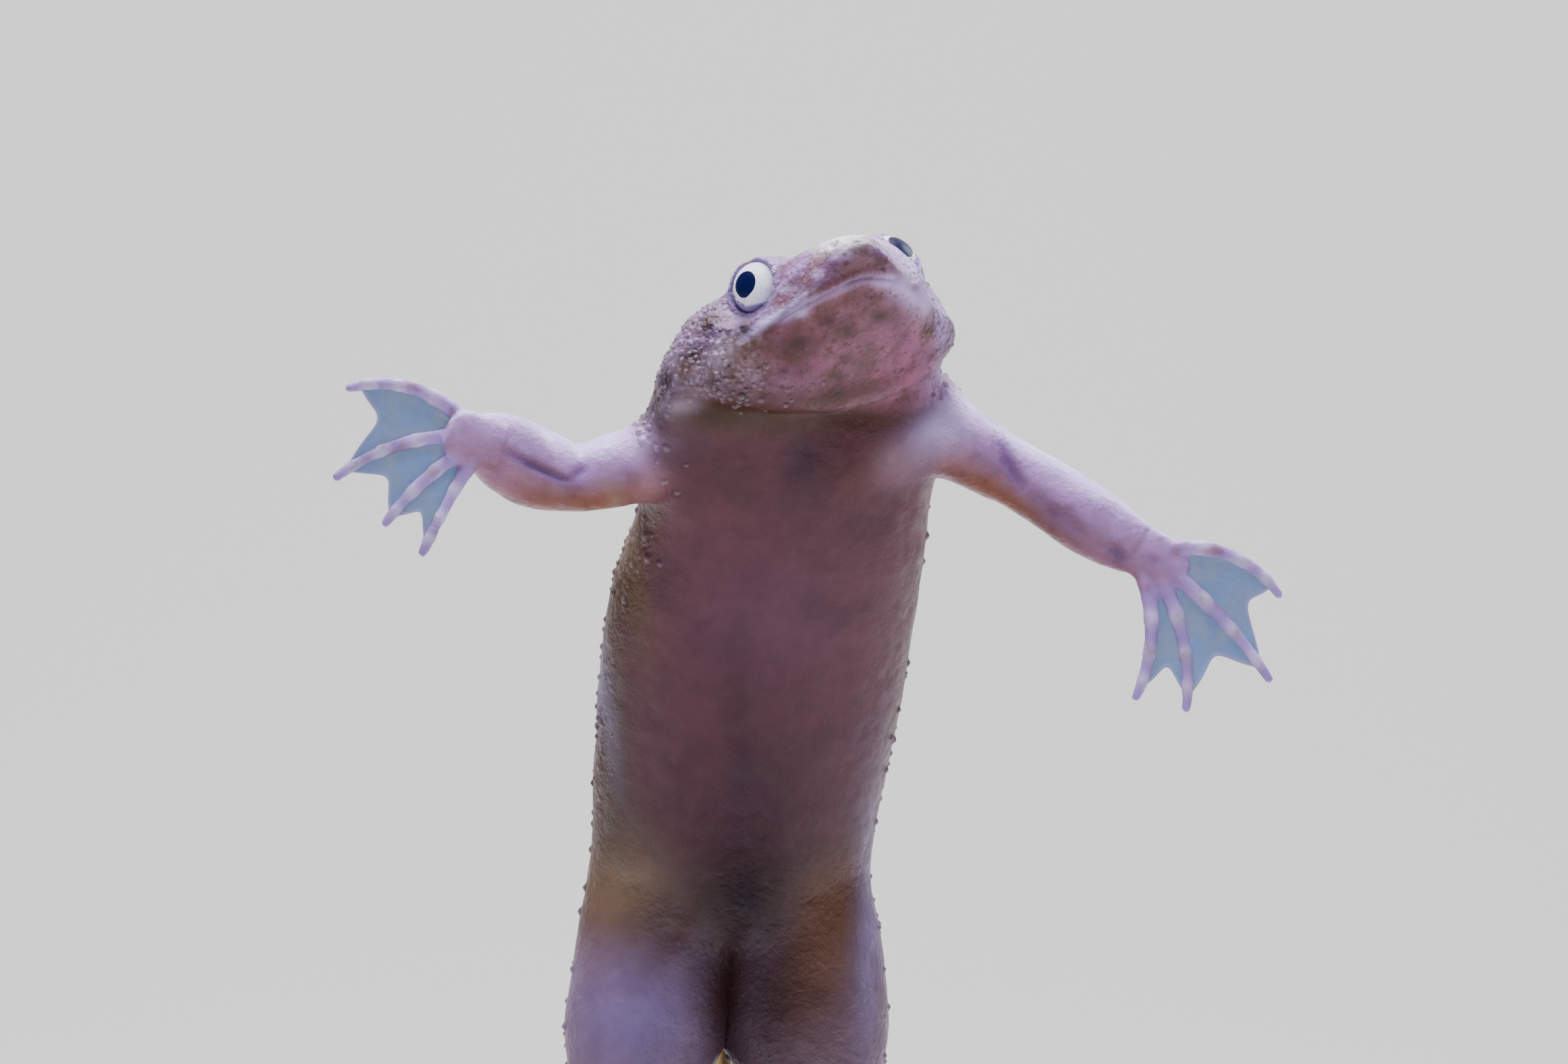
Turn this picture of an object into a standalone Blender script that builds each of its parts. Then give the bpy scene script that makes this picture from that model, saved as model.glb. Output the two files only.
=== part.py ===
"""African dwarf frog swimming upright, life size, on a plain display stand.

Blender 4.5 script, metres, +Z up. The origin is the centre of the stand's underside. The belly faces -Y,
the frog leans forward, towards -Y, and its right side is at -X. Run it with
blender --background --python part.py, or from Blender's text editor.
"""

import math

import bmesh
import bpy
import numpy as np
from mathutils import Matrix, Vector

MM = 0.001
GAP = 0.3 * MM  # clearance between neighbouring pieces

# Spine, from the snout to the rump: centre of each section, its right side's direction, half width, height
# of the back and depth of the belly from the centre.
SPINE = [
    (4.54, -13.20, 71.00, -0.918, -0.346, -0.193, 0.05, 0.05, 0.05),
    (3.68, -9.70, 69.00, -0.918, -0.346, -0.193, 3.90, 2.60, 1.50),
    (2.82, -7.30, 67.50, -0.920, -0.345, -0.185, 5.30, 3.00, 2.20),
    (2.02, -5.70, 65.95, -0.930, -0.330, -0.165, 6.50, 3.90, 2.45),
    (1.65, -3.60, 63.10, -0.945, -0.310, -0.120, 6.20, 3.90, 3.30),
    (1.05, -1.60, 59.96, -0.960, -0.275, -0.080, 6.45, 3.90, 3.90),
    (0.27, 0.20, 56.78, -0.970, -0.240, -0.050, 6.70, 3.90, 4.25),
    (-0.17, 1.60, 53.86, -0.975, -0.210, -0.020, 6.65, 3.80, 4.30),
    (-0.56, 2.90, 50.92, -0.980, -0.180, 0.000, 6.45, 3.60, 4.20),
    (-0.92, 4.00, 47.96, -0.985, -0.150, 0.020, 6.20, 3.30, 3.90),
    (-1.10, 4.90, 45.28, -0.990, -0.130, 0.020, 5.70, 2.95, 3.40),
    (-1.15, 5.50, 42.90, -0.990, -0.130, 0.020, 4.00, 2.40, 2.60),
    (-1.15, 5.85, 41.00, -0.990, -0.130, 0.020, 0.05, 0.05, 0.05),
]
# Head, by the distance behind the snout's tip: half width, top of the head and underside of the jaw from
# the level of the lips, and how square its upper half is.
HEAD = [
    (0.00, 0.05, 0.90, 0.88, 1.00),
    (0.10, 0.50, 1.28, 0.60, 1.00),
    (0.35, 0.98, 1.52, 0.36, 0.98),
    (0.75, 1.42, 1.78, 0.12, 0.95),
    (1.20, 1.80, 2.05, -0.25, 0.90),
    (1.90, 2.28, 2.38, -0.62, 0.86),
    (2.80, 2.98, 2.72, -0.98, 0.84),
    (3.80, 3.75, 2.98, -1.30, 0.82),
    (5.00, 4.65, 3.22, -1.68, 0.78),
    (6.40, 5.55, 3.50, -2.10, 0.74),
    (7.70, 6.20, 3.75, -2.50, 0.78),
    (8.60, 6.45, 3.85, -2.35, 0.84),
]
LIP_LEVEL = (0.90, 0.75)  # height of the snout's tip over the lips, and the distance over which it fades
LIP_PROUD = 0.12 * MM
MOUTH_FRONT, MOUTH_CORNER = 1.05 * MM, 4.55 * MM  # behind the snout's tip
MOUTH_LINE_RADIUS = 0.15 * MM
NECK = 8.6 * MM  # where the head meets the torso, behind the snout's tip
THROAT = (0.75 * MM, 1.6 * MM)  # depth of the fold behind the jaw, and the distance over which it fades
HEAD_RINGS, TORSO_RINGS, HEAD_SIDES, BODY_SIDES = 20, 24, 44, 36
BODY_ROUNDNESS = 0.94

# Eyes, in the head's own directions: behind the snout's tip, outwards, above the lips.
EYE_PLACE = (5.00 * MM, 2.95 * MM, 2.40 * MM)
EYE_RADIUS = 1.15 * MM
EYE_AXIS_RIGHT = (0.70, 0.71, 0.02)  # forwards, outwards, upwards
EYE_AXIS_LEFT = (0.78, 0.56, 0.25)
RIM_RADII = (1.85 * MM, 1.66 * MM)  # at the root and at the edge of the fold round each eye
RIM_DEPTH, RIM_EDGE = 1.5 * MM, 0.0 * MM  # below and above the eye's centre, along its axis
OPENING = (0.35 * MM, 1.25 * MM, 2.05 * MM)  # how far out the socket starts to widen, where it ends, its mouth
NOSTRIL_PLACE = (0.55 * MM, 0.80 * MM, 1.35 * MM)
NOSTRIL_RADIUS, NOSTRIL_DEPTH = 0.22 * MM, 0.45 * MM

# Limbs: points of the centre line, with the half width and half depth of the section there.
ARM_RIGHT = [
    (-2.40, -5.50, 63.60, 1.90, 1.70),
    (-4.80, -6.00, 62.90, 1.62, 1.48),
    (-6.25, -6.15, 62.50, 1.54, 1.42),
    (-7.58, -6.25, 62.26, 1.42, 1.38),
    (-8.48, -6.50, 62.46, 1.62, 1.45),
    (-9.36, -6.90, 62.76, 1.70, 1.48),
    (-10.20, -7.55, 63.23, 1.65, 1.38),
    (-10.92, -8.30, 63.58, 1.48, 1.18),
    (-11.50, -9.10, 63.76, 1.25, 0.98),
]
ARM_LEFT = [
    (5.40, -3.30, 65.30, 2.30, 1.80),
    (7.55, -2.85, 64.45, 1.92, 1.68),
    (8.75, -2.60, 63.72, 1.60, 1.55),
    (9.80, -2.40, 63.12, 1.52, 1.46),
    (11.10, -2.20, 62.42, 1.44, 1.38),
    (12.20, -2.15, 61.76, 1.46, 1.38),
    (13.60, -2.20, 60.88, 1.52, 1.38),
    (15.06, -2.30, 59.93, 1.42, 1.22),
    (16.15, -2.45, 59.30, 1.15, 0.92),
]
ELBOWS = {"right": 3, "left": 4}  # the point of the centre line at the elbow
LEG_RIGHT = [
    (-3.60, 4.40, 47.40, 2.70, 2.30),
    (-4.50, 4.30, 42.80, 3.20, 2.75),
    (-5.00, 3.70, 39.00, 3.25, 2.85),
    (-5.45, 2.90, 35.50, 3.00, 2.60),
    (-6.10, 2.10, 32.30, 1.75, 1.85),
    (-6.60, 3.10, 28.60, 1.95, 2.00),
    (-7.05, 4.60, 24.60, 1.50, 1.50),
    (-7.45, 6.10, 20.60, 1.00, 0.95),
]
LEG_LEFT = [
    (1.05, 5.00, 47.40, 2.70, 2.30),
    (2.05, 4.95, 42.80, 3.20, 2.75),
    (2.35, 4.40, 39.00, 3.35, 2.85),
    (2.55, 3.70, 35.50, 3.20, 2.60),
    (3.05, 3.00, 32.40, 1.80, 1.85),
    (3.65, 4.20, 28.70, 1.95, 2.00),
    (4.30, 5.60, 24.80, 1.50, 1.50),
    (4.85, 7.00, 20.90, 1.00, 0.95),
]
KNEES = {"right": 4, "left": 4}
LIMB_SIDES, ARM_RINGS, THIGH_RINGS, SHANK_RINGS = 16, 8, 11, 9

# Digits: the root beside and above the wrist or ankle, the heading of the base and of the tip in the plane
# of the hand or foot, and the length.
HAND_RIGHT = [
    (-0.15, 0.42, 132, 192, 5.5),
    (-0.25, 0.18, 180, 216, 5.7),
    (-0.20, -0.22, 214, 232, 4.6),
    (0.05, -0.55, 238, 246, 4.5),
]
HAND_LEFT = [
    (0.55, -0.15, 14, -50, 5.8),
    (0.72, -0.45, -40, -72, 6.5),
    (0.60, -0.75, -62, -94, 6.0),
    (0.10, -0.85, -76, -112, 5.3),
]
FOOT_RIGHT = [
    (1.0, 0.0, -58, -50, 5.4),
    (0.5, 0.0, -75, -70, 7.6),
    (0.0, 0.0, -88, -86, 9.4),
    (-0.5, 0.0, -103, -104, 10.6),
    (-1.0, 0.0, -122, -126, 9.2),
]
FOOT_LEFT = [
    (-1.0, 0.0, -122, -130, 5.4),
    (-0.5, 0.0, -105, -110, 7.6),
    (0.0, 0.0, -92, -94, 9.4),
    (0.5, 0.0, -77, -76, 10.4),
    (1.0, 0.0, -58, -54, 9.0),
]
DIGIT_RADII = (0.42 * MM, 0.30 * MM)
TOE_RADII = (0.50 * MM, 0.32 * MM)
DIGIT_SIDES, DIGIT_RINGS, DIGIT_TIP_RINGS = 8, 7, 2
PALM = [(0.0, 1.15, 0.85), (0.4, 1.22, 0.75), (0.8, 1.2, 0.66), (1.2, 1.0, 0.55), (1.5, 0.6, 0.4)]
WEB_THICKNESS = 0.5 * MM
HAND_WEB = (0.80, 0.16)  # how far out the web reaches along the digits, and how far its edge dips between
FOOT_WEB = (0.90, 0.14)
WEB_ROWS, WEB_COLUMNS = 5, 4
CLAWED_TOES = 3
CLAW_LENGTH, CLAW_RADIUS, CLAW_SIDES = 0.95 * MM, 0.28 * MM, 8

# Stand
BASE_RADIUS, BASE_HEIGHT, BASE_BEVEL, BASE_SIDES = 27 * MM, 4 * MM, 0.6 * MM, 48
ROD_RADIUS, ROD_SIDES = 0.8 * MM, 16
ROD_PLACE = (-1.05 * MM, 7.1 * MM)
FOOT_FLANGE_RADIUS, FOOT_FLANGE_HEIGHT = 2.6 * MM, 0.8 * MM

# Colour, roughness and metallic value
SKIN_UPPER = ((0.40, 0.33, 0.33), 0.45, 0.0)
SKIN_UNDER = ((0.42, 0.31, 0.33), 0.45, 0.0)
LIMB = ((0.52, 0.44, 0.48), 0.45, 0.0)
WEBBED = ((0.55, 0.50, 0.60), 0.40, 0.0)
EYE = ((0.75, 0.76, 0.80), 0.10, 0.0)
CLAW = ((0.03, 0.03, 0.03), 0.35, 0.0)
BLACK_WOOD = ((0.03, 0.028, 0.026), 0.40, 0.0)
BRASS = ((0.62, 0.50, 0.28), 0.30, 1.0)


def clear_scene():
    for obj in list(bpy.data.objects):
        bpy.data.objects.remove(obj)


def finish(name, colour):
    """The material of that name, made once."""
    found = bpy.data.materials.get(name)
    if found:
        return found
    material = bpy.data.materials.new(name)
    material.use_nodes = True
    shader = material.node_tree.nodes["Principled BSDF"]
    shader.inputs["Base Color"].default_value = (*colour[0], 1.0)
    shader.inputs["Roughness"].default_value = colour[1]
    shader.inputs["Metallic"].default_value = colour[2]
    return material


def solid(name, points, faces):
    """An object from points and faces, with its faces turned outwards."""
    mesh = bpy.data.meshes.new(name)
    mesh.from_pydata([tuple(p) for p in points], [], [tuple(f) for f in faces])
    shape = bmesh.new()
    shape.from_mesh(mesh)
    bmesh.ops.recalc_face_normals(shape, faces=shape.faces)
    shape.to_mesh(mesh)
    shape.free()
    obj = bpy.data.objects.new(name, mesh)
    bpy.context.scene.collection.objects.link(obj)
    return obj


def smooth_through(knots, values, at):
    """Cubic through the values at the knots, with no overshoot between them."""
    knots, values, at = np.asarray(knots, float), np.asarray(values, float), np.asarray(at, float)
    step = np.diff(knots)[:, None]
    slope = np.diff(values, axis=0) / step
    rate = np.zeros_like(values)
    same_way = slope[:-1] * slope[1:] > 0
    heavy, light = 2 * step[1:] + step[:-1], step[1:] + 2 * step[:-1]
    safe = np.where(same_way, slope[:-1], 1.0), np.where(same_way, slope[1:], 1.0)
    rate[1:-1] = np.where(same_way, (heavy + light) / (heavy / safe[0] + light / safe[1]), 0.0)
    rate[0], rate[-1] = slope[0], slope[-1]
    i = np.clip(np.searchsorted(knots, at) - 1, 0, len(knots) - 2)
    t = ((at - knots[i]) / (knots[i + 1] - knots[i]))[:, None]
    span = step[i]
    return (
        values[i] * (1 + 2 * t) * (1 - t) ** 2
        + rate[i] * span * t * (1 - t) ** 2
        + values[i + 1] * t**2 * (3 - 2 * t)
        + rate[i + 1] * span * t**2 * (t - 1)
    )


def rounded_through(knots, values, at):
    """Cubic through the values, with the mean slope at each knot: a path that bends evenly."""
    knots, values, at = np.asarray(knots, float), np.asarray(values, float), np.asarray(at, float)
    rate = np.gradient(values, knots, axis=0)
    i = np.clip(np.searchsorted(knots, at) - 1, 0, len(knots) - 2)
    span = (knots[i + 1] - knots[i])[:, None]
    t = (at - knots[i])[:, None] / span
    return (
        values[i] * (1 + 2 * t) * (1 - t) ** 2
        + rate[i] * span * t * (1 - t) ** 2
        + values[i + 1] * t**2 * (3 - 2 * t)
        + rate[i + 1] * span * t**2 * (t - 1)
    )


def unit(v):
    return v / np.linalg.norm(v, axis=-1, keepdims=True)


def lengths_along(points):
    return np.concatenate([[0.0], np.cumsum(np.linalg.norm(np.diff(points, axis=0), axis=1))])


def loft(name, rings):
    """One closed body through the rings, with a fan of triangles over each end."""
    count, around = rings.shape[:2]
    points = np.concatenate([rings.reshape(-1, 3), rings[[0, -1]].mean(axis=1)])
    faces = []
    for i in range(count - 1):
        for j in range(around):
            k = (j + 1) % around
            faces.append((i * around + j, i * around + k, (i + 1) * around + k, (i + 1) * around + j))
    first, last = count * around, count * around + 1
    for j in range(around):
        k = (j + 1) % around
        faces.append((first, k, j))
        faces.append((last, (count - 1) * around + j, (count - 1) * around + k))
    return solid(name, points, faces)


def settle(obj):
    """Keeps the object's evaluated mesh in place of its modifiers."""
    graph = bpy.context.evaluated_depsgraph_get()
    mesh = bpy.data.meshes.new_from_object(obj.evaluated_get(graph))
    obj.modifiers.clear()
    obj.data = mesh


def keep_largest(obj):
    """Drops every closed surface of the mesh but the one with the most volume."""
    shape = bmesh.new()
    shape.from_mesh(obj.data)
    left, groups = set(shape.verts), []
    while left:
        group, edge_of_group = set(), [left.pop()]
        while edge_of_group:
            vertex = edge_of_group.pop()
            group.add(vertex)
            near = {edge.other_vert(vertex) for edge in vertex.link_edges} & left
            left -= near
            edge_of_group.extend(near)
        groups.append(group)
    spread = [max(v.co.length for v in g) - min(v.co.length for v in g) + len(g) * 1e-9 for g in groups]
    keep = groups[spread.index(max(spread))]
    bmesh.ops.delete(shape, geom=[v for v in shape.verts if v not in keep], context="VERTS")
    shape.to_mesh(obj.data)
    shape.free()


def fuse(obj, pieces, solver="MANIFOLD"):
    """Joins closed pieces to the object by one Boolean union."""
    group = bpy.data.collections.new("pieces of " + obj.name)
    bpy.context.scene.collection.children.link(group)
    for piece in pieces:
        group.objects.link(piece)
    union = obj.modifiers.new("union", "BOOLEAN")
    union.operation, union.operand_type, union.collection, union.solver = "UNION", "COLLECTION", group, solver
    settle(obj)
    for piece in pieces:
        bpy.data.objects.remove(piece)
    bpy.data.collections.remove(group)
    keep_largest(obj)
    return obj


def carve(obj, cutters, remove=True, solver="MANIFOLD"):
    """Takes the cutters away from the object."""
    for cutter in cutters:
        cut = obj.modifiers.new("cut", "BOOLEAN")
        cut.operation, cut.object, cut.solver = "DIFFERENCE", cutter, solver
        settle(obj)
    if remove:
        for cutter in cutters:
            bpy.data.objects.remove(cutter)
    keep_largest(obj)
    return obj


def dress(obj, name, colour):
    obj.data.materials.clear()
    obj.data.materials.append(finish(name, colour))
    obj.data.shade_smooth()
    obj.data.set_sharp_from_angle(angle=math.radians(40))
    return obj


def spine_at(distance):
    """Centre and the forward, right and up directions of the body at these distances behind the snout."""
    table = np.array(SPINE)
    places = table[:, :3] * MM
    along = lengths_along(places)
    distance = np.asarray(distance)
    beside_neck = np.abs(distance - NECK) < GAP
    place = np.where(beside_neck, NECK, distance)
    step = 0.05 * MM
    forward = unit(rounded_through(along, places, place - step) - rounded_through(along, places, place + step))
    centre = rounded_through(along, places, place) - (distance - place)[:, None] * forward
    right = smooth_through(along, table[:, 3:6], place)
    right = unit(right - (right * forward).sum(axis=1, keepdims=True) * forward)
    return centre, forward, right, np.cross(right, forward)


def spine_length():
    return lengths_along(np.array(SPINE)[:, :3] * MM)[-1]


def body_section(distance):
    """Half width, height of the back, depth of the belly, height of the widest line, squareness."""
    distance = np.asarray(distance)
    table = np.array(SPINE)
    along = lengths_along(table[:, :3] * MM)
    rest = smooth_through(along[1:], table[1:, 6:9] * MM, np.maximum(distance, along[1]))
    head = np.array(HEAD) * MM
    roots = np.sqrt(head[:, 0])
    face = smooth_through(roots, head[:, 1:], np.sqrt(np.clip(distance, 0, head[-1, 0])))
    in_head = distance < head[-1, 0]
    depth, fade = THROAT
    past = np.clip((distance - NECK) / fade, 0, None)
    square = np.where(in_head, face[:, 3] / MM, BODY_ROUNDNESS + (HEAD[-1][4] - BODY_ROUNDNESS) * np.exp(-past))
    lift, over = LIP_LEVEL
    level = np.where(in_head, lift * MM * np.exp(-((distance / (over * MM)) ** 2)), 0.0)
    width = np.where(in_head, face[:, 0], rest[:, 0])
    back = np.where(in_head, face[:, 1] - level, rest[:, 1])
    belly = np.where(in_head, level - face[:, 2], rest[:, 2] - depth * np.exp(-past))
    return width, back, belly, level, square


def body_rings(distance, sides, grown=0.0):
    """Rings round the body, the first point at its right side and the second quarter on its back."""
    centre, forward, right, up = spine_at(distance)
    width, back, belly, level, square = body_section(distance)
    angle = np.arange(sides) / sides * 2 * math.pi
    across, rise = np.cos(angle), np.sin(angle)
    power = np.where(rise > 0, square[:, None], BODY_ROUNDNESS)
    across = np.sign(across) * np.abs(across) ** power
    rise = np.sign(rise) * np.abs(rise) ** power
    side = (width[:, None] + grown) * across
    height = np.where(rise > 0, (back[:, None] + grown) * rise, (belly[:, None] + grown) * rise)
    near_lips = np.exp(-((np.abs(height) / (0.45 * MM)) ** 2)) * (np.abs(across) > 0.5)
    lip = np.clip(1.4 - distance / MOUTH_CORNER, 0, 1) * np.clip(distance / MOUTH_FRONT - 1, 0, 1)
    side = side + np.sign(across) * near_lips * (lip * LIP_PROUD)[:, None]
    height = height + level[:, None]
    return (
        centre[:, None]
        + side[..., None] * right[:, None]
        + height[..., None] * up[:, None]
    )


def ring_places(start, end, count):
    return np.linspace(start, end, count)


def snout_places(end, count):
    """Distances that crowd towards the snout's round tip."""
    return (np.linspace(0.0, 1.0, count) ** 2) * end


def rump_places(start, count):
    """Distances that crowd towards the rump's round end."""
    t = np.linspace(0.0, 1.0, count)
    return start + (spine_length() - start) * (1 - (1 - t) ** 1.5)


def whole_trunk(name, grown):
    """Head and torso in one, grown outwards by some distance: a cutter for the roots of the limbs."""
    places = np.concatenate([snout_places(NECK - GAP / 2, HEAD_RINGS), rump_places(NECK + GAP / 2, TORSO_RINGS)])
    return loft(name, body_rings(places, HEAD_SIDES, grown))


def head_axes():
    """The snout's tip at the level of the lips, and the head's forward, right and up directions."""
    centre, forward, right, up = spine_at(np.array([0.0, 3.0 * MM]))
    return centre[0], forward[1], right[1], up[1]


def head_point(place, side):
    tip, forward, right, up = head_axes()
    return tip - place[0] * forward + side * place[1] * right + place[2] * up


def head_direction(direction, side):
    tip, forward, right, up = head_axes()
    return unit(direction[0] * forward + side * direction[1] * right + direction[2] * up)


def turned(name, profile, place, axis, sides):
    """A body turned round an axis, from (distance along it, radius) pairs, closed at both ends."""
    axis = unit(np.asarray(axis, float))
    across = unit(np.cross(axis, (0.0, 0.3, 1.0) if abs(axis[2]) < 0.9 else (0.0, 1.0, 0.0)))
    other = np.cross(axis, across)
    angle = np.arange(sides) / sides * 2 * math.pi
    circle = np.cos(angle)[:, None] * across + np.sin(angle)[:, None] * other
    rings = [np.asarray(place) + along * axis + radius * circle for along, radius in profile]
    return loft(name, np.array(rings))


def ball(name, place, radius, sides=20, axis=(0.0, 0.0, 1.0)):
    steps = sides // 2
    profile = [(-radius * math.cos(t), radius * math.sin(t)) for t in np.linspace(0.12, math.pi - 0.12, steps)]
    return turned(name, profile, place, axis, sides)


def mouth_line():
    """Round cutter along the lips, from one corner of the mouth under the snout to the other."""
    behind = np.linspace(0.0, 1.0, 9)[1:] ** 1.5 * (MOUTH_CORNER - MOUTH_FRONT) + MOUTH_FRONT
    centre, forward, right, up = spine_at(behind)
    width, _, belly, level, _ = body_section(behind)
    below = np.exp(-((behind - MOUTH_FRONT) / (0.55 * MM)))
    angle = np.radians(8 + 72 * below)
    halves = []
    for side in (1, -1):
        out = side * width * np.cos(angle) + side * 0.05 * MM
        halves.append(centre + out[:, None] * right + (level - belly * np.sin(angle))[:, None] * up)
    middle, _, _, rise = spine_at(np.array([MOUTH_FRONT]))
    _, _, belly, level, _ = body_section(np.array([MOUTH_FRONT]))
    points = np.concatenate([halves[0][::-1], middle + (level - belly)[:, None] * rise, halves[1]])
    along = lengths_along(points)
    path = rounded_through(along, points, np.linspace(0, along[-1], 41))
    return tube("mouth line", path, np.full(len(path), MOUTH_LINE_RADIUS), 6, head_axes()[3])


def tube(name, path, radii, sides, side_hint):
    """Round tube along a path."""
    tangent = unit(np.gradient(path, axis=0))
    across = unit(np.cross(tangent, np.asarray(side_hint)))
    other = np.cross(tangent, across)
    angle = np.arange(sides) / sides * 2 * math.pi
    rings = (
        path[:, None]
        + radii[:, None, None] * np.cos(angle)[None, :, None] * across[:, None]
        + radii[:, None, None] * np.sin(angle)[None, :, None] * other[:, None]
    )
    return loft(name, rings)


def make_head():
    places = snout_places(NECK - GAP / 2, HEAD_RINGS)
    head = loft("head", body_rings(places, HEAD_SIDES))
    rims, cuts = [], []
    for side, gaze in ((1, EYE_AXIS_RIGHT), (-1, EYE_AXIS_LEFT)):
        place = head_point(EYE_PLACE, side)
        axis = head_direction(gaze, side)
        middle = (RIM_RADII[0] + RIM_RADII[1]) / 2 + 0.06 * MM
        profile = [(-RIM_DEPTH, RIM_RADII[0]), (-RIM_DEPTH / 3, middle), (RIM_EDGE, RIM_RADII[1])]
        rims.append(turned("eye rim", profile, place, axis, 20))
        cuts.append(ball("eye socket", place, EYE_RADIUS + GAP, 20, axis))
        profile = [(-0.3 * MM, EYE_RADIUS), (OPENING[0], EYE_RADIUS + GAP), (OPENING[1], OPENING[2])]
        cuts.append(turned("eye opening", profile, place, axis, 20))
        nostril = head_point(NOSTRIL_PLACE, side)
        out = head_direction((0.55, 0.45, 0.7), side)
        profile = [(-NOSTRIL_DEPTH, NOSTRIL_RADIUS * 0.5), (0.6 * MM, NOSTRIL_RADIUS * 1.25)]
        cuts.append(turned("nostril", profile, nostril, out, 8))
    fuse(head, rims)
    carve(head, [*cuts, mouth_line()])
    return dress(head, "upper skin", SKIN_UPPER)


def make_torso():
    torso = loft("torso", body_rings(rump_places(NECK + GAP / 2, TORSO_RINGS), BODY_SIDES))
    return dress(torso, "belly skin", SKIN_UNDER)


def make_eyes():
    for side, name, gaze in ((1, "eye_right", EYE_AXIS_RIGHT), (-1, "eye_left", EYE_AXIS_LEFT)):
        eye = ball(name, head_point(EYE_PLACE, side), EYE_RADIUS, 20, head_direction(gaze, side))
        dress(eye, "eye", EYE)


def limb_rings(stations, start, end, count, sides):
    """Rings of a limb between two shares of its length. The section's width lies across the limb, in the
    plane that faces forward."""
    table = np.array(stations) * MM
    along = lengths_along(table[:, :3])
    places = np.linspace(start, end, count)
    path = rounded_through(along, table[:, :3], places)
    sizes = smooth_through(along, table[:, 3:], places)
    step = 0.05 * MM
    tangent = unit(
        rounded_through(along, table[:, :3], places + step) - rounded_through(along, table[:, :3], places - step)
    )
    across = unit(np.cross(tangent, (0.0, 1.0, 0.0)))
    deep = np.cross(across, tangent)
    angle = np.arange(sides) / sides * 2 * math.pi
    return (
        path[:, None]
        + (sizes[:, 0, None] * np.cos(angle))[..., None] * across[:, None]
        + (sizes[:, 1, None] * np.sin(angle))[..., None] * deep[:, None]
    )


def make_limb(stations, joint, names, rings, trunk):
    """The two lengths of a limb, parted at its joint, the first cut clear of the trunk."""
    along = lengths_along(np.array(stations)[:, :3] * MM)
    bend, whole = along[joint], along[-1]
    upper = loft(names[0], limb_rings(stations, 0.0, bend - GAP / 2, rings[0], LIMB_SIDES))
    carve(upper, [trunk], remove=False)
    lower = loft(names[1], limb_rings(stations, bend + GAP / 2, whole, rings[1], LIMB_SIDES))
    return dress(upper, "limb skin", LIMB), dress(lower, "limb skin", LIMB)


def digit_path(root, plane, heading, length, count):
    """Points of a digit that bends evenly in its plane from one heading to another."""
    start, end = (math.radians(h) for h in heading)
    turn = np.linspace(start, end, count - 1)
    right, up, lean = plane
    steps = np.cos(turn)[:, None] * right + np.sin(turn)[:, None] * up + lean
    steps = unit(steps) * length / (count - 1)
    return np.concatenate([[root], root + np.cumsum(steps, axis=0)])


def digit(name, path, radii):
    """A digit of round section that tapers to a round tip."""
    along = lengths_along(path)
    end = along[-1]
    radius = np.interp(along, (0, end), radii)
    tip = radii[1]
    rings = [along < end - tip * 1.2]
    places = np.concatenate([along[rings[0]], [end - tip, end - tip * 0.25]])
    sizes = np.concatenate([radius[rings[0]], [tip * 1.0, tip * 0.62]])
    points = rounded_through(along, path, places)
    return tube(name, points, sizes, DIGIT_SIDES, (0.0, 1.0, 0.05))


def web(name, first, second, reach, dip):
    """The membrane between two digits: a ruled sheet with a concave edge, as thick all over."""
    rows, columns = np.linspace(0, 1, WEB_ROWS + 1), np.linspace(0, 1, WEB_COLUMNS + 1)
    whole = [lengths_along(path) for path in (first, second)]
    grid = np.zeros((WEB_ROWS + 1, WEB_COLUMNS + 1, 3))
    for j, across in enumerate(columns):
        out = reach - dip * math.sin(math.pi * across)
        shares = 0.04 + rows * (out - 0.04)
        edge = [rounded_through(w, path, shares * w[-1]) for w, path in zip(whole, (first, second))]
        grid[:, j] = edge[0] * (1 - across) + edge[1] * across
    normal = unit(np.cross(np.gradient(grid, axis=0), np.gradient(grid, axis=1)))
    half = normal * WEB_THICKNESS / 2
    across = WEB_COLUMNS + 1
    count = grid.shape[0] * across
    points = np.concatenate([(grid + half).reshape(-1, 3), (grid - half).reshape(-1, 3)])
    faces = []
    for i in range(WEB_ROWS):
        for j in range(WEB_COLUMNS):
            a, b, c, d = i * across + j, i * across + j + 1, (i + 1) * across + j + 1, (i + 1) * across + j
            faces += [(a, b, c), (a, c, d)]
            faces += [(a + count, c + count, b + count), (a + count, d + count, c + count)]
    edge = [j for j in range(across)]
    edge += [i * across + across - 1 for i in range(1, WEB_ROWS + 1)]
    edge += [WEB_ROWS * across + j for j in range(across - 2, -1, -1)]
    edge += [i * across for i in range(WEB_ROWS - 1, 0, -1)]
    for i, a in enumerate(edge):
        b = edge[(i + 1) % len(edge)]
        faces += [(a, a + count, b + count), (a, b + count, b)]
    return solid(name, points, faces)


def make_fan(name, palm, roots, digits, radii, plane, webbing):
    """A hand or a foot: palm, digits and the webs between them in one closed body. Returns it with the
    paths of its digits."""
    paths = []
    pieces = []
    for beside, above, start, end, length in digits:
        root = roots + beside * MM * plane[0] + above * MM * plane[1]
        path = digit_path(root, plane, (start, end), length * MM, DIGIT_RINGS)
        paths.append(path)
        pieces.append(digit(name + " digit", path, radii))
    for first, second in zip(paths, paths[1:]):
        pieces.append(web(name + " web", first, second, *webbing))
    fuse(palm, pieces)
    return dress(palm, "webbed skin", WEBBED), paths


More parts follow.
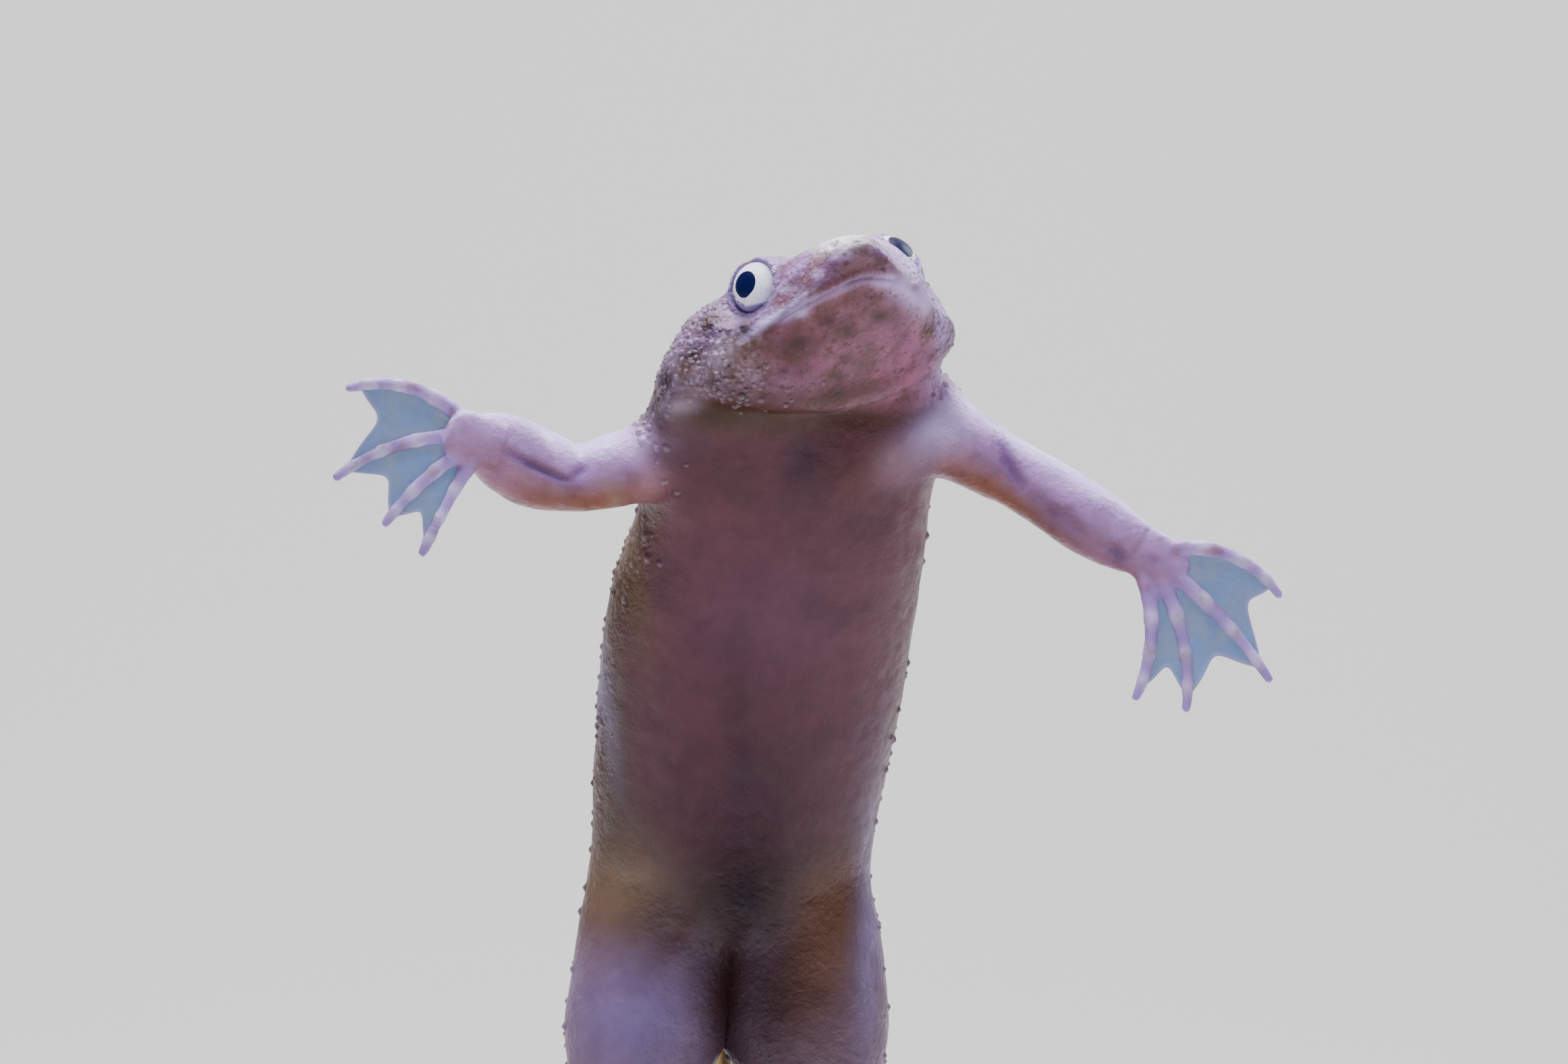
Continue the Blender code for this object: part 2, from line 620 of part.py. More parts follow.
def make_hand(name, stations, digits, lean):
    """The palm goes on from the wrist, and widens and flattens towards the fingers."""
    table = np.array(stations)
    wrist = table[-1, :3] * MM
    ahead = unit(table[-1, :3] - table[-2, :3])
    flat = unit(np.array([ahead[0], ahead[1] * 0.4, ahead[2]]))
    across = unit(np.cross(flat, (0.0, 1.0, 0.0)))
    deep = np.cross(across, flat)
    start = wrist + ahead * GAP
    angle = np.arange(12) / 12 * 2 * math.pi
    rings = []
    for out, wide, thick in PALM:
        centre = start + flat * out * MM
        circle = wide * MM * np.cos(angle)[:, None] * across + thick * MM * np.sin(angle)[:, None] * deep
        rings.append(centre + circle)
    palm = loft(name, np.array(rings))
    plane = (np.array([1.0, 0.0, 0.0]), np.array([0.0, 0.0, 1.0]), np.array([0.0, lean, 0.0]))
    return make_fan(name, palm, start + flat * 0.3 * MM, digits, DIGIT_RADII, plane, HAND_WEB)


def make_foot(name, stations, digits, side):
    """The tarsus goes on from the ankle to the roots of the toes."""
    table = np.array(stations)
    ankle = table[-1, :3] * MM
    ahead = unit(table[-1, :3] - table[-2, :3])
    ankle = ankle + ahead * 0.2 * MM
    down = unit(np.array([side * -0.25, -0.22, -0.95]))
    path = np.array([ankle + ahead * GAP, ankle + ahead * 1.2 * MM, ankle + ahead * 1.5 * MM + down * 1.8 * MM])
    path = np.append(path, [path[-1] + down * 2.0 * MM, path[-1] + down * 3.2 * MM], axis=0)
    table = [(0.98, 0.92), (0.95, 0.85), (1.05, 0.72), (1.35, 0.62), (1.05, 0.42)]
    across = unit(np.cross(down, (0.0, 1.0, 0.0)))
    deep = np.cross(across, down)
    angle = np.arange(12) / 12 * 2 * math.pi
    rings = []
    for centre, (wide, thick) in zip(path, table):
        rings.append(centre + wide * MM * np.cos(angle)[:, None] * across + thick * MM * np.sin(angle)[:, None] * deep)
    tarsus = loft(name, np.array(rings))
    plane = (np.array([1.0, 0.0, 0.0]), np.array([0.0, 0.0, 1.0]), np.array([0.0, -0.2, 0.0]))
    return make_fan(name, tarsus, path[3] - down * 0.3 * MM, digits, TOE_RADII, plane, FOOT_WEB)


def make_claws(name, paths):
    """Short curved claws on the three inner toes."""
    for number, path in enumerate(paths[:CLAWED_TOES], start=1):
        ahead = unit(path[-1] - path[-2])
        start = path[-1] + ahead * GAP
        profile = [(0.0, CLAW_RADIUS), (CLAW_LENGTH * 0.45, CLAW_RADIUS * 0.8), (CLAW_LENGTH, CLAW_RADIUS * 0.2)]
        claw = turned(f"{name}_{number}", profile, start, ahead, CLAW_SIDES)
        dress(claw, "claw", CLAW)


def make_stand(trunk):
    angle_profile = [
        (0.0, BASE_RADIUS - BASE_BEVEL),
        (BASE_BEVEL, BASE_RADIUS),
        (BASE_HEIGHT - BASE_BEVEL, BASE_RADIUS),
        (BASE_HEIGHT, BASE_RADIUS - BASE_BEVEL),
    ]
    base = turned("stand_base", angle_profile, (0.0, 0.0, 0.0), (0.0, 0.0, 1.0), BASE_SIDES)
    dress(base, "stand base", BLACK_WOOD)
    foot = BASE_HEIGHT + GAP
    top = SPINE[-1][2] * MM + 5 * MM
    profile = [
        (foot, FOOT_FLANGE_RADIUS),
        (foot + FOOT_FLANGE_HEIGHT * 0.6, FOOT_FLANGE_RADIUS),
        (foot + FOOT_FLANGE_HEIGHT, FOOT_FLANGE_RADIUS - 0.3 * MM),
        (foot + FOOT_FLANGE_HEIGHT * 1.3, ROD_RADIUS),
        (top, ROD_RADIUS),
    ]
    rod = turned("stand_rod", profile, (*ROD_PLACE, 0.0), (0.0, 0.0, 1.0), ROD_SIDES)
    carve(rod, [trunk], remove=False)
    dress(rod, "stand rod", BRASS)


def main():
    clear_scene()
    make_head()
    make_torso()
    make_eyes()
    trunk = whole_trunk("trunk with clearance", GAP * 1.3)
    arm_rings, leg_rings = (ARM_RINGS, ARM_RINGS), (THIGH_RINGS, SHANK_RINGS)
    make_limb(ARM_RIGHT, ELBOWS["right"], ("upper_arm_right", "forearm_right"), arm_rings, trunk)
    make_limb(ARM_LEFT, ELBOWS["left"], ("upper_arm_left", "forearm_left"), arm_rings, trunk)
    make_limb(LEG_RIGHT, KNEES["right"], ("thigh_right", "shank_right"), leg_rings, trunk)
    make_limb(LEG_LEFT, KNEES["left"], ("thigh_left", "shank_left"), leg_rings, trunk)
    make_hand("hand_right", ARM_RIGHT, HAND_RIGHT, -0.15)
    make_hand("hand_left", ARM_LEFT, HAND_LEFT, -0.10)
    paths = make_foot("foot_right", LEG_RIGHT, FOOT_RIGHT, 1)[1]
    make_claws("claw_right", paths)
    paths = make_foot("foot_left", LEG_LEFT, FOOT_LEFT, -1)[1]
    make_claws("claw_left", paths)
    make_stand(trunk)
    bpy.data.objects.remove(trunk)


main()
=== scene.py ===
"""An African dwarf frog swimming upright, with its belly to the camera, as a life-size museum model.

One skin covers the whole animal. Its shape comes from the same named sizes as the solids, more finely
divided, with the lips, folds, eye rims and granules that the solids leave out.
"""

import math

import bmesh
import bpy
import numpy as np
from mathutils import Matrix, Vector, noise


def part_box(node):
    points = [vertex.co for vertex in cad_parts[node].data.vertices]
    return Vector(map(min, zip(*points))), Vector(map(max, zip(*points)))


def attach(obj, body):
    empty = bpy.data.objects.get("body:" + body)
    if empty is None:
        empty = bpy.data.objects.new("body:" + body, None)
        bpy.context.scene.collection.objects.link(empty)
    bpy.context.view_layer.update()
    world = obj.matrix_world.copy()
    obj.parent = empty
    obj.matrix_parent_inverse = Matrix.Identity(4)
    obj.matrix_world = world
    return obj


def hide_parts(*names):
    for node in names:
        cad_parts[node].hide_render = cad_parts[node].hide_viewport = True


MM = 0.001
FLESH = [
    "head", "torso", "upper_arm_left", "upper_arm_right", "forearm_left", "forearm_right", "hand_left",
    "hand_right", "thigh_left", "thigh_right", "shank_left", "shank_right", "foot_left", "foot_right",
]

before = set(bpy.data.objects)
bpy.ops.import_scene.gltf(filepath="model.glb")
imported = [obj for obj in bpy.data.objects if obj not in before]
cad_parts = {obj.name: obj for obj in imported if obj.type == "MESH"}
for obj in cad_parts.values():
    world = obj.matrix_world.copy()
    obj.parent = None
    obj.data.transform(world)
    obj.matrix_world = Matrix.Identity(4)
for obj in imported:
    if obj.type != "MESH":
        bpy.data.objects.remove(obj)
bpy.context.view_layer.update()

# Spine, from the snout to the rump, in millimetres: centre, right side's direction, half width, height of
# the back and depth of the belly.
SPINE = np.array([
    (4.54, -13.20, 71.00, -0.918, -0.346, -0.193, 0.05, 0.05, 0.05),
    (3.68, -9.70, 69.00, -0.918, -0.346, -0.193, 3.90, 2.60, 1.50),
    (2.82, -7.30, 67.50, -0.920, -0.345, -0.185, 5.30, 3.00, 2.20),
    (2.02, -5.70, 65.95, -0.930, -0.330, -0.165, 6.50, 3.90, 2.45),
    (1.65, -3.60, 63.10, -0.945, -0.310, -0.120, 6.20, 3.90, 3.30),
    (1.05, -1.60, 59.96, -0.960, -0.275, -0.080, 6.45, 3.90, 3.90),
    (0.27, 0.20, 56.78, -0.970, -0.240, -0.050, 6.70, 3.90, 4.25),
    (-0.17, 1.60, 53.86, -0.975, -0.210, -0.020, 6.65, 3.80, 4.30),
    (-0.56, 2.90, 50.92, -0.980, -0.180, 0.000, 6.45, 3.60, 4.20),
    (-0.92, 4.00, 47.96, -0.985, -0.150, 0.020, 6.20, 3.30, 3.90),
    (-1.10, 4.90, 45.28, -0.990, -0.130, 0.020, 5.70, 2.95, 3.40),
    (-1.15, 5.50, 42.90, -0.990, -0.130, 0.020, 4.00, 2.40, 2.60),
    (-1.15, 5.85, 41.00, -0.990, -0.130, 0.020, 0.05, 0.05, 0.05),
])
# Head: distance behind the snout's tip, half width, top and underside from the lips' level, squareness.
HEAD = np.array([
    (0.00, 0.05, 0.90, 0.88, 1.00),
    (0.10, 0.50, 1.28, 0.60, 1.00),
    (0.35, 0.98, 1.52, 0.36, 0.98),
    (0.75, 1.42, 1.80, 0.12, 0.98),
    (1.20, 1.78, 2.08, -0.25, 0.97),
    (1.90, 2.24, 2.42, -0.62, 0.98),
    (2.80, 2.90, 2.76, -0.98, 0.98),
    (3.80, 3.66, 3.02, -1.30, 0.92),
    (5.00, 4.55, 3.25, -1.68, 0.82),
    (6.40, 5.55, 3.50, -2.10, 0.74),
    (7.70, 6.20, 3.75, -2.50, 0.78),
    (8.60, 6.45, 3.85, -2.35, 0.84),
])
LIP_LEVEL = (0.90, 0.75)  # height of the lips at the snout's tip, and how far back it fades
MOUTH_FRONT, MOUTH_CORNER = 1.05, 4.55
NECK = 8.6
THROAT = (0.75, 1.6)  # depth of the fold behind the jaw, and how far back it fades
JAW_SHIFT = 2.5  # how much nearer to the snout the jaw ends on the animal's left side
JAW_NARROWING = 0.10
BODY_ROUNDNESS = 0.94
MOUTH_REACH = 1.6  # how far from the mouth's line the lips are shaped and painted
# Eyes, 1 on the right and -1 on the left. The place is behind the snout's tip, outwards and upwards, and the
# gaze forwards, outwards and upwards. Then comes how shift, pupil and lid differ from side to side.
EYE_PLACE = (5.00, 2.95, 2.40)
EYE_RADIUS = 1.15
EYE_AXIS = {1: (0.59, 0.80, 0.10), -1: (0.856, 0.45, 0.26)}
EYE_SHIFT = {1: (0.10, 0.0, 0.08), -1: (0.34, 0.0, 0.24)}
PUPIL_GROWTH = {1: 0.02, -1: 0.07}
LID = {1: (-0.8, -0.2, -0.5), -1: (-0.6, -0.5, -0.65)}
LID_REACH = {1: 0.24, -1: 0.64}
BALL_RADIUS, IRIS_REACH, CORNEA_REACH = 1.10, 0.82, 1.44
NOSTRIL_PLACE = (0.55, 0.80, 1.35)

# Camera: the photo's size in pixels, its pixels to a millimetre at the shoulders, the millimetres from the
# lens to them, and the place of its middle there: sideways, front to back and up.
PHOTO_WIDTH, PHOTO_HEIGHT, PHOTO_SCALE, CAMERA_AWAY = 2324, 1577, 35, 290.0
PHOTO_MIDDLE = (1.2, -3.0, 60.0)
# The front of the head, front to back, where the photo's marks on it lie.
HEAD_FRONT = -10.0

# Limbs, in millimetres: points of the centre line, half width and half depth.
ARM_RIGHT = np.array([
    (-2.40, -5.50, 63.60, 1.90, 1.70),
    (-4.80, -6.00, 62.90, 1.62, 1.48),
    (-6.25, -6.15, 62.50, 1.54, 1.42),
    (-7.58, -6.25, 62.26, 1.42, 1.38),
    (-8.48, -6.50, 62.46, 1.62, 1.45),
    (-9.36, -6.90, 62.76, 1.70, 1.48),
    (-10.20, -7.55, 63.23, 1.65, 1.38),
    (-10.92, -8.30, 63.58, 1.46, 1.02),
    (-11.50, -9.10, 63.76, 1.22, 0.66),
])
ARM_LEFT = np.array([
    (5.40, -3.30, 65.30, 2.30, 1.80),
    (7.55, -2.85, 64.45, 1.92, 1.68),
    (8.75, -2.60, 63.72, 1.60, 1.55),
    (9.80, -2.40, 63.12, 1.52, 1.46),
    (11.10, -2.20, 62.42, 1.44, 1.38),
    (12.20, -2.15, 61.76, 1.46, 1.38),
    (13.60, -2.20, 60.88, 1.52, 1.38),
    (15.06, -2.30, 59.93, 1.40, 1.05),
    (16.15, -2.45, 59.30, 1.18, 0.66),
])
LEG_RIGHT = np.array([
    (-3.60, 4.40, 47.40, 2.70, 2.30),
    (-4.35, 4.30, 42.80, 3.35, 2.75),
    (-4.82, 3.70, 39.00, 3.45, 2.85),
    (-5.45, 2.90, 35.50, 2.75, 2.40),
    (-6.10, 2.10, 32.30, 1.90, 1.90),
    (-6.60, 3.10, 28.60, 1.95, 2.00),
    (-7.05, 4.60, 24.60, 1.50, 1.50),
    (-7.45, 6.10, 20.60, 1.00, 0.95),
])
LEG_LEFT = np.array([
    (1.05, 5.00, 47.40, 2.70, 2.30),
    (1.95, 4.95, 42.80, 3.35, 2.75),
    (2.15, 4.40, 39.00, 3.62, 2.85),
    (2.55, 3.70, 35.50, 2.90, 2.40),
    (3.05, 3.00, 32.40, 1.92, 1.90),
    (3.65, 4.20, 28.70, 1.95, 2.00),
    (4.30, 5.60, 24.80, 1.50, 1.50),
    (4.85, 7.00, 20.90, 1.00, 0.95),
])
KNEE = 4  # which point of a leg is its knee

# Creases on the arms' front, in millimetres: sideways place and height along each, then width, depth and how
# much painted violet shade they show.
CREASES = [
    ([(-10.45, 63.45), (-9.65, 62.98), (-8.70, 62.52), (-7.95, 62.22), (-7.30, 62.12)], 0.15, 0.11, 0.70),
    ([(-7.70, 62.18), (-7.35, 62.45), (-7.00, 62.85)], 0.22, 0.09, 0.55),
    ([(10.2, 63.9), (10.55, 63.28), (11.04, 62.29), (11.5, 61.7)], 0.24, 0.10, 0.60),
    ([(11.3, 62.0), (12.3, 61.1), (13.3, 60.4), (14.3, 59.7)], 0.30, 0.05, 0.35),
    ([(14.89, 59.36), (15.4, 59.0), (15.6, 58.6)], 0.22, 0.10, 0.60),
]

# Digits: root beside and above the wrist, heading of the base and of the tip, length.
HAND_RIGHT = [
    (-0.15, 0.42, 132, 192, 5.5), (-0.25, 0.18, 180, 216, 5.7),
    (-0.20, -0.22, 214, 232, 4.6), (0.05, -0.55, 238, 246, 4.5),
]
HAND_LEFT = [
    (0.55, -0.15, 14, -52, 5.8), (0.72, -0.45, -38, -56, 6.7),
    (0.60, -0.75, -62, -94, 6.0), (0.10, -0.85, -76, -112, 5.3),
]
FOOT_RIGHT = [
    (1.0, 0.0, -58, -50, 5.4), (0.5, 0.0, -75, -70, 7.6), (0.0, 0.0, -88, -86, 9.4),
    (-0.5, 0.0, -103, -104, 10.6), (-1.0, 0.0, -122, -126, 9.2),
]
FOOT_LEFT = [
    (-1.0, 0.0, -122, -130, 5.4), (-0.5, 0.0, -105, -110, 7.6), (0.0, 0.0, -92, -94, 9.4),
    (0.5, 0.0, -77, -76, 10.4), (1.0, 0.0, -58, -54, 9.0),
]
PALM = [(0.0, 1.15, 0.55), (0.5, 1.20, 0.47), (1.0, 1.15, 0.42), (1.6, 0.95, 0.36), (2.1, 0.55, 0.26)]
TARSUS = [(0.98, 0.92), (0.95, 0.85), (1.05, 0.72), (1.35, 0.58), (1.0, 0.36)]
FINGER_RADII, TOE_RADII = (0.43, 0.18), (0.44, 0.24)
# Share of a digit's length, and share of its first radius there.
FINGER_TAPER = ((0.0, 0.25, 0.60, 0.90, 1.0), (1.0, 0.78, 0.64, 0.54, 0.44))
TOE_TAPER = ((0.0, 1.0), (1.0, TOE_RADII[1] / TOE_RADII[0]))
FINGER_JOINTS, TOE_JOINTS = (0.36, 0.62, 0.83), (0.3, 0.55, 0.78)
HAND_WEB, FOOT_WEB = (0.90, 0.13), (0.92, 0.12)
WEB_THICKNESS = 0.14

VOXEL = 0.088  # finest size of the skin's remesh
SKIN_FACES = 192000
FILLET = 1.7  # how far limb and trunk flow into one another


def unit(v):
    return v / np.maximum(np.linalg.norm(v, axis=-1, keepdims=True), 1e-12)


def lengths_along(points):
    return np.concatenate([[0.0], np.cumsum(np.linalg.norm(np.diff(points, axis=0), axis=1))])


def step(low, high, value):
    """Smooth rise from 0 to 1 between two values."""
    t = np.clip((value - low) / (high - low), 0.0, 1.0)
    return t * t * (3 - 2 * t)


def bell(value, width):
    """1 where the value is 0, falling smoothly to nothing a few widths away."""
    return np.exp(-((value / width) ** 2))


def hermite(knots, values, rate, at):
    """Cubic through the values at the knots, with these slopes there."""
    i = np.clip(np.searchsorted(knots, at) - 1, 0, len(knots) - 2)
    span = (knots[i + 1] - knots[i])[:, None]
    t = (at - knots[i])[:, None] / span
    return (
        values[i] * (1 + 2 * t) * (1 - t) ** 2
        + rate[i] * span * t * (1 - t) ** 2
        + values[i + 1] * t**2 * (3 - 2 * t)
        + rate[i + 1] * span * t**2 * (t - 1)
    )


def smooth_through(knots, values, at):
    """Cubic through the values at the knots, with no overshoot between them."""
    width = np.diff(knots)[:, None]
    slope = np.diff(values, axis=0) / width
    rate = np.zeros_like(values)
    same_way = slope[:-1] * slope[1:] > 0
    heavy, light = 2 * width[1:] + width[:-1], width[1:] + 2 * width[:-1]
    first, second = np.where(same_way, slope[:-1], 1.0), np.where(same_way, slope[1:], 1.0)
    rate[1:-1] = np.where(same_way, (heavy + light) / (heavy / first + light / second), 0.0)
    rate[0], rate[-1] = slope[0], slope[-1]
    return hermite(knots, values, rate, np.asarray(at, float))


def rounded_through(knots, values, at):
    """Cubic through the values with the mean slope at each knot."""
    return hermite(knots, values, np.gradient(values, knots, axis=0), np.asarray(at, float))


SPINE_ALONG = lengths_along(SPINE[:, :3])
SPINE_LENGTH = SPINE_ALONG[-1]


def spine_at(distance):
    """Centre and the forward, right and up directions of the body at these distances behind the snout."""
    distance = np.asarray(distance, float)
    ahead = rounded_through(SPINE_ALONG, SPINE[:, :3], distance - 0.05)
    forward = unit(ahead - rounded_through(SPINE_ALONG, SPINE[:, :3], distance + 0.05))
    right = smooth_through(SPINE_ALONG, SPINE[:, 3:6], distance)
    right = unit(right - (right * forward).sum(axis=1, keepdims=True) * forward)
    return rounded_through(SPINE_ALONG, SPINE[:, :3], distance), forward, right, np.cross(right, forward)


def body_section(distance):
    """Half width, height of the back, depth of the belly, level of the widest line, squareness."""
    distance = np.asarray(distance, float)
    rest = smooth_through(SPINE_ALONG[1:], SPINE[1:, 6:9], np.maximum(distance, SPINE_ALONG[1]))
    face = smooth_through(np.sqrt(HEAD[:, 0]), HEAD[:, 1:], np.sqrt(np.clip(distance, 0, NECK)))
    in_head = 1 - step(NECK - 0.6, NECK + 0.6, distance)
    past = np.clip((distance - NECK) / THROAT[1], 0, None)
    fold = THROAT[0] * np.exp(-past) * step(NECK - 0.35, NECK + 0.45, distance)
    level = np.where(distance < NECK, LIP_LEVEL[0] * np.exp(-((distance / LIP_LEVEL[1]) ** 2)), 0.0)
    width = face[:, 0] * in_head + rest[:, 0] * (1 - in_head)
    back = (face[:, 1] - level) * in_head + rest[:, 1] * (1 - in_head)
    belly = (level - face[:, 2]) * in_head + rest[:, 2] * (1 - in_head) - fold
    square = face[:, 3] * in_head + (BODY_ROUNDNESS - 0.1 * np.exp(-past)) * (1 - in_head)
    return width, back, belly, level, square


def body_rings(distance, sides):
    """Rings of the trunk and head, with the jaw's end moved forwards on the left."""
    centre, _, right, up = spine_at(distance)
    angle = np.arange(sides) / sides * 2 * math.pi
    on_left = np.clip(-np.cos(angle), 0, 1) ** 1.3 * np.where(np.sin(angle) > 0, 0.6, 1.0)
    moved = step(4.6, 7.6, distance) * (1 - step(9.5, 14.5, distance))
    shifted = distance[:, None] + JAW_SHIFT * moved[:, None] * on_left[None]
    sections = [part.reshape(shifted.shape) for part in body_section(shifted.ravel())]
    width, back, belly, level, square = sections
    across, rise = np.cos(angle)[None], np.sin(angle)[None]
    power = np.where(rise > 0, square, BODY_ROUNDNESS)
    across = np.sign(across) * np.abs(across) ** power
    rise = np.sign(rise) * np.abs(rise) ** power
    side = width * across * (1 - JAW_NARROWING * moved[:, None] * on_left)
    height = np.where(rise > 0, back * rise, belly * rise) + level
    return centre[:, None] + side[..., None] * right[:, None] + height[..., None] * up[:, None]


def head_frame():
    """Snout's tip, and the head's forward, right and up directions."""
    _, forward, right, up = spine_at(np.array([3.0]))
    return SPINE[0, :3], forward[0], right[0], up[0]


def in_head_frame(points):
    """How far each point lies behind the snout's tip, out to the right, and above it."""
    tip, forward, right, up = head_frame()
    local = points - tip
    return -(local @ forward), local @ right, local @ up


def head_point(place, side):
    tip, forward, right, up = head_frame()
    return tip - place[0] * forward + side * place[1] * right + place[2] * up


def head_direction(direction, side):
    _, forward, right, up = head_frame()
    return unit(direction[0] * forward + side * direction[1] * right + direction[2] * up)


def eye_place(side):
    """Centre and gaze of an eye."""
    return head_point(EYE_PLACE, side) + EYE_SHIFT[side], head_direction(EYE_AXIS[side], side)


class Surface:
    """Points and faces gathered into one mesh. All sizes are in millimetres until it is built."""

    def __init__(self):
        self.points, self.faces, self.count = [], [], 0
        self.values = {}

    def add(self, points, faces, **values):
        self.points.append(np.asarray(points, float).reshape(-1, 3))
        self.faces += [tuple(i + self.count for i in face) for face in faces]
        self.count += len(self.points[-1])
        for name, value in values.items():
            self.values.setdefault(name, []).append(value)

    def loft(self, rings, **values):
        """A closed body through the rings, with a fan over each end."""
        count, around = rings.shape[:2]
        ends = rings[[0, -1]].mean(axis=1)
        faces = []
        for i in range(count - 1):
            for j in range(around):
                k = (j + 1) % around
                faces.append((i * around + j, i * around + k, (i + 1) * around + k, (i + 1) * around + j))
        first = count * around
        for j in range(around):
            k = (j + 1) % around
            faces.append((first, k, j))
            faces.append((first + 1, (count - 1) * around + j, (count - 1) * around + k))
        self.add(np.concatenate([rings.reshape(-1, 3), ends]), faces, **values)

    def build(self, name):
        mesh = bpy.data.meshes.new(name)
        mesh.from_pydata(np.concatenate(self.points) * MM, [], self.faces)
        for key, values in self.values.items():
            write_values(mesh, key, np.concatenate(values))
        outwards(mesh)
        obj = bpy.data.objects.new(name, mesh)
        bpy.context.scene.collection.objects.link(obj)
        mesh.shade_smooth()
        return obj


def outwards(mesh):
    shape = bmesh.new()
    shape.from_mesh(mesh)
    bmesh.ops.recalc_face_normals(shape, faces=shape.faces)
    shape.to_mesh(mesh)
    shape.free()


def write_values(mesh, name, values):
    """Stores a number or a colour for each point of the mesh."""
    values = np.asarray(values, np.float32)
    kind, key = ("FLOAT", "value") if values.ndim == 1 else ("FLOAT_COLOR", "color")
    if values.ndim == 2:
        values = np.concatenate([values, np.ones((len(values), 1), np.float32)], axis=1)
    layer = mesh.attributes.get(name) or mesh.attributes.new(name, kind, "POINT")
    layer.data.foreach_set(key, values.ravel())


def read_points(mesh, what="co"):
    values = np.zeros(len(mesh.vertices) * 3, np.float32)
    source, key = (mesh.vertices, "co") if what == "co" else (mesh.vertex_normals, "vector")
    source.foreach_get(key, values)
    return values.reshape(-1, 3).astype(float)


def settle(obj):
    """Puts the evaluated mesh in place of the object's modifiers."""
    graph = bpy.context.evaluated_depsgraph_get()
    mesh = bpy.data.meshes.new_from_object(obj.evaluated_get(graph))
    obj.modifiers.clear()
    obj.data = mesh
    return obj


def limb_path(stations, count):
    """Points, half widths, half depths and directions of a limb at even steps along it."""
    along = lengths_along(stations[:, :3])
    at = np.linspace(0, along[-1], count)
    path = rounded_through(along, stations[:, :3], at)
    sizes = smooth_through(along, stations[:, 3:], at)
    tangent = unit(np.gradient(path, axis=0))
    across = unit(np.cross(tangent, (0.0, 1.0, 0.0)))
    return path, sizes, tangent, across, np.cross(across, tangent)


def oval_rings(path, sizes, across, deep, sides):
    angle = np.arange(sides) / sides * 2 * math.pi
    return (
        path[:, None]
        + (sizes[:, 0, None] * np.cos(angle))[..., None] * across[:, None]
        + (sizes[:, 1, None] * np.sin(angle))[..., None] * deep[:, None]
    )


def digit_path(root, lean, heading, length, count):
    turn = np.radians(np.linspace(*heading, count - 1))
    steps = np.stack([np.cos(turn), np.full_like(turn, lean), np.sin(turn)], axis=1)
    steps = unit(steps) * length / (count - 1)
    return np.concatenate([[root], root + np.cumsum(steps, axis=0)])


def digit_rings(path, radii, taper, joints, sides=18, count=56):
    """Rings of a digit: slim shafts between rounder joints, and a round tip."""
    along = lengths_along(path)
    end = along[-1]
    in_tip = end - radii[1] * (1 - np.array([0.3, 0.6, 0.85, 0.97]))
    at = np.concatenate([np.linspace(0, end - radii[1], count), in_tip])
    centre = rounded_through(along, path, at)
    radius = radii[0] * np.interp(at / end, *taper)
    for share in joints:
        radius = radius + 0.045 * bell(at / end - share, 0.035)
    near_end = np.clip((at - (end - radii[1])) / radii[1], 0, 0.98)
    radius = radius * np.sqrt(1 - near_end**2)
    tangent = unit(np.gradient(centre, axis=0))
    across = unit(np.cross(tangent, (0.0, 1.0, 0.05)))
    sizes = np.stack([radius, radius * 0.85], axis=1)
    return oval_rings(centre, sizes, across, np.cross(across, tangent), sides)


def hand_parts(stations, digits, lean, stretch):
    """Rings of the palm and the paths of the fingers."""
    ahead = unit(stations[-1, :3] - stations[-2, :3])
    flat = unit(ahead * np.array([1.0, 0.4, 1.0]))
    across = unit(np.cross(flat, (0.0, 1.0, 0.0)))
    start = stations[-1, :3] + ahead * 0.3
    table = np.array([(-1.2 / stretch, 1.15, 0.62), *PALM]) * (stretch, 1.0, 1.0)
    path = start + flat * table[:, :1]
    rings = oval_rings(path, table[:, 1:] * (0.97, 0.92), np.tile(across, (len(table), 1)),
                       np.tile(np.cross(across, flat), (len(table), 1)), 24)
    paths = []
    for beside, above, first, last, length in digits:
        root = start - flat * 0.1 + np.array([beside, 0.0, above])
        paths.append(digit_path(root, lean, (first, last), length + 0.4, 7))
    return rings, paths


def foot_parts(stations, digits, side):
    """Rings of the tarsus and the paths of the toes."""
    ahead = unit(stations[-1, :3] - stations[-2, :3])
    down = unit(np.array([side * -0.25, -0.22, -0.95]))
    ankle = stations[-1, :3] + ahead * 0.2
    turn = ankle + ahead * 1.5
    path = np.array([ankle - ahead * 1.0, ankle + ahead * 0.3, ankle + ahead * 1.2, turn + down * 1.8])
    path = np.append(path, [path[-1] + down * 2.0, path[-1] + down * 3.2], axis=0)
    sizes = np.array([(1.05, 1.0), *TARSUS])
    along = lengths_along(path)
    at = np.linspace(0, along[-1], 24)
    centre, size = rounded_through(along, path, at), smooth_through(along, sizes, at)
    across = unit(np.cross(down, (0.0, 1.0, 0.0)))
    rings = oval_rings(centre, size, np.tile(across, (24, 1)), np.tile(np.cross(across, down), (24, 1)), 24)
    root = path[4] - down * 0.3
    paths = []
    for beside, above, first, last, length in digits:
        paths.append(digit_path(root + np.array([beside, 0.0, above]), -0.2, (first, last), length, 7))
    return rings, paths


HANDS = {
    "right": hand_parts(ARM_RIGHT, HAND_RIGHT, -0.15, 0.62),
    "left": hand_parts(ARM_LEFT, HAND_LEFT, -0.10, 1.0),
}
FEET = {
    "right": foot_parts(LEG_RIGHT, FOOT_RIGHT, 1),
    "left": foot_parts(LEG_LEFT, FOOT_LEFT, -1),
}
LIMBS = {"arm_right": ARM_RIGHT, "arm_left": ARM_LEFT, "leg_right": LEG_RIGHT, "leg_left": LEG_LEFT}


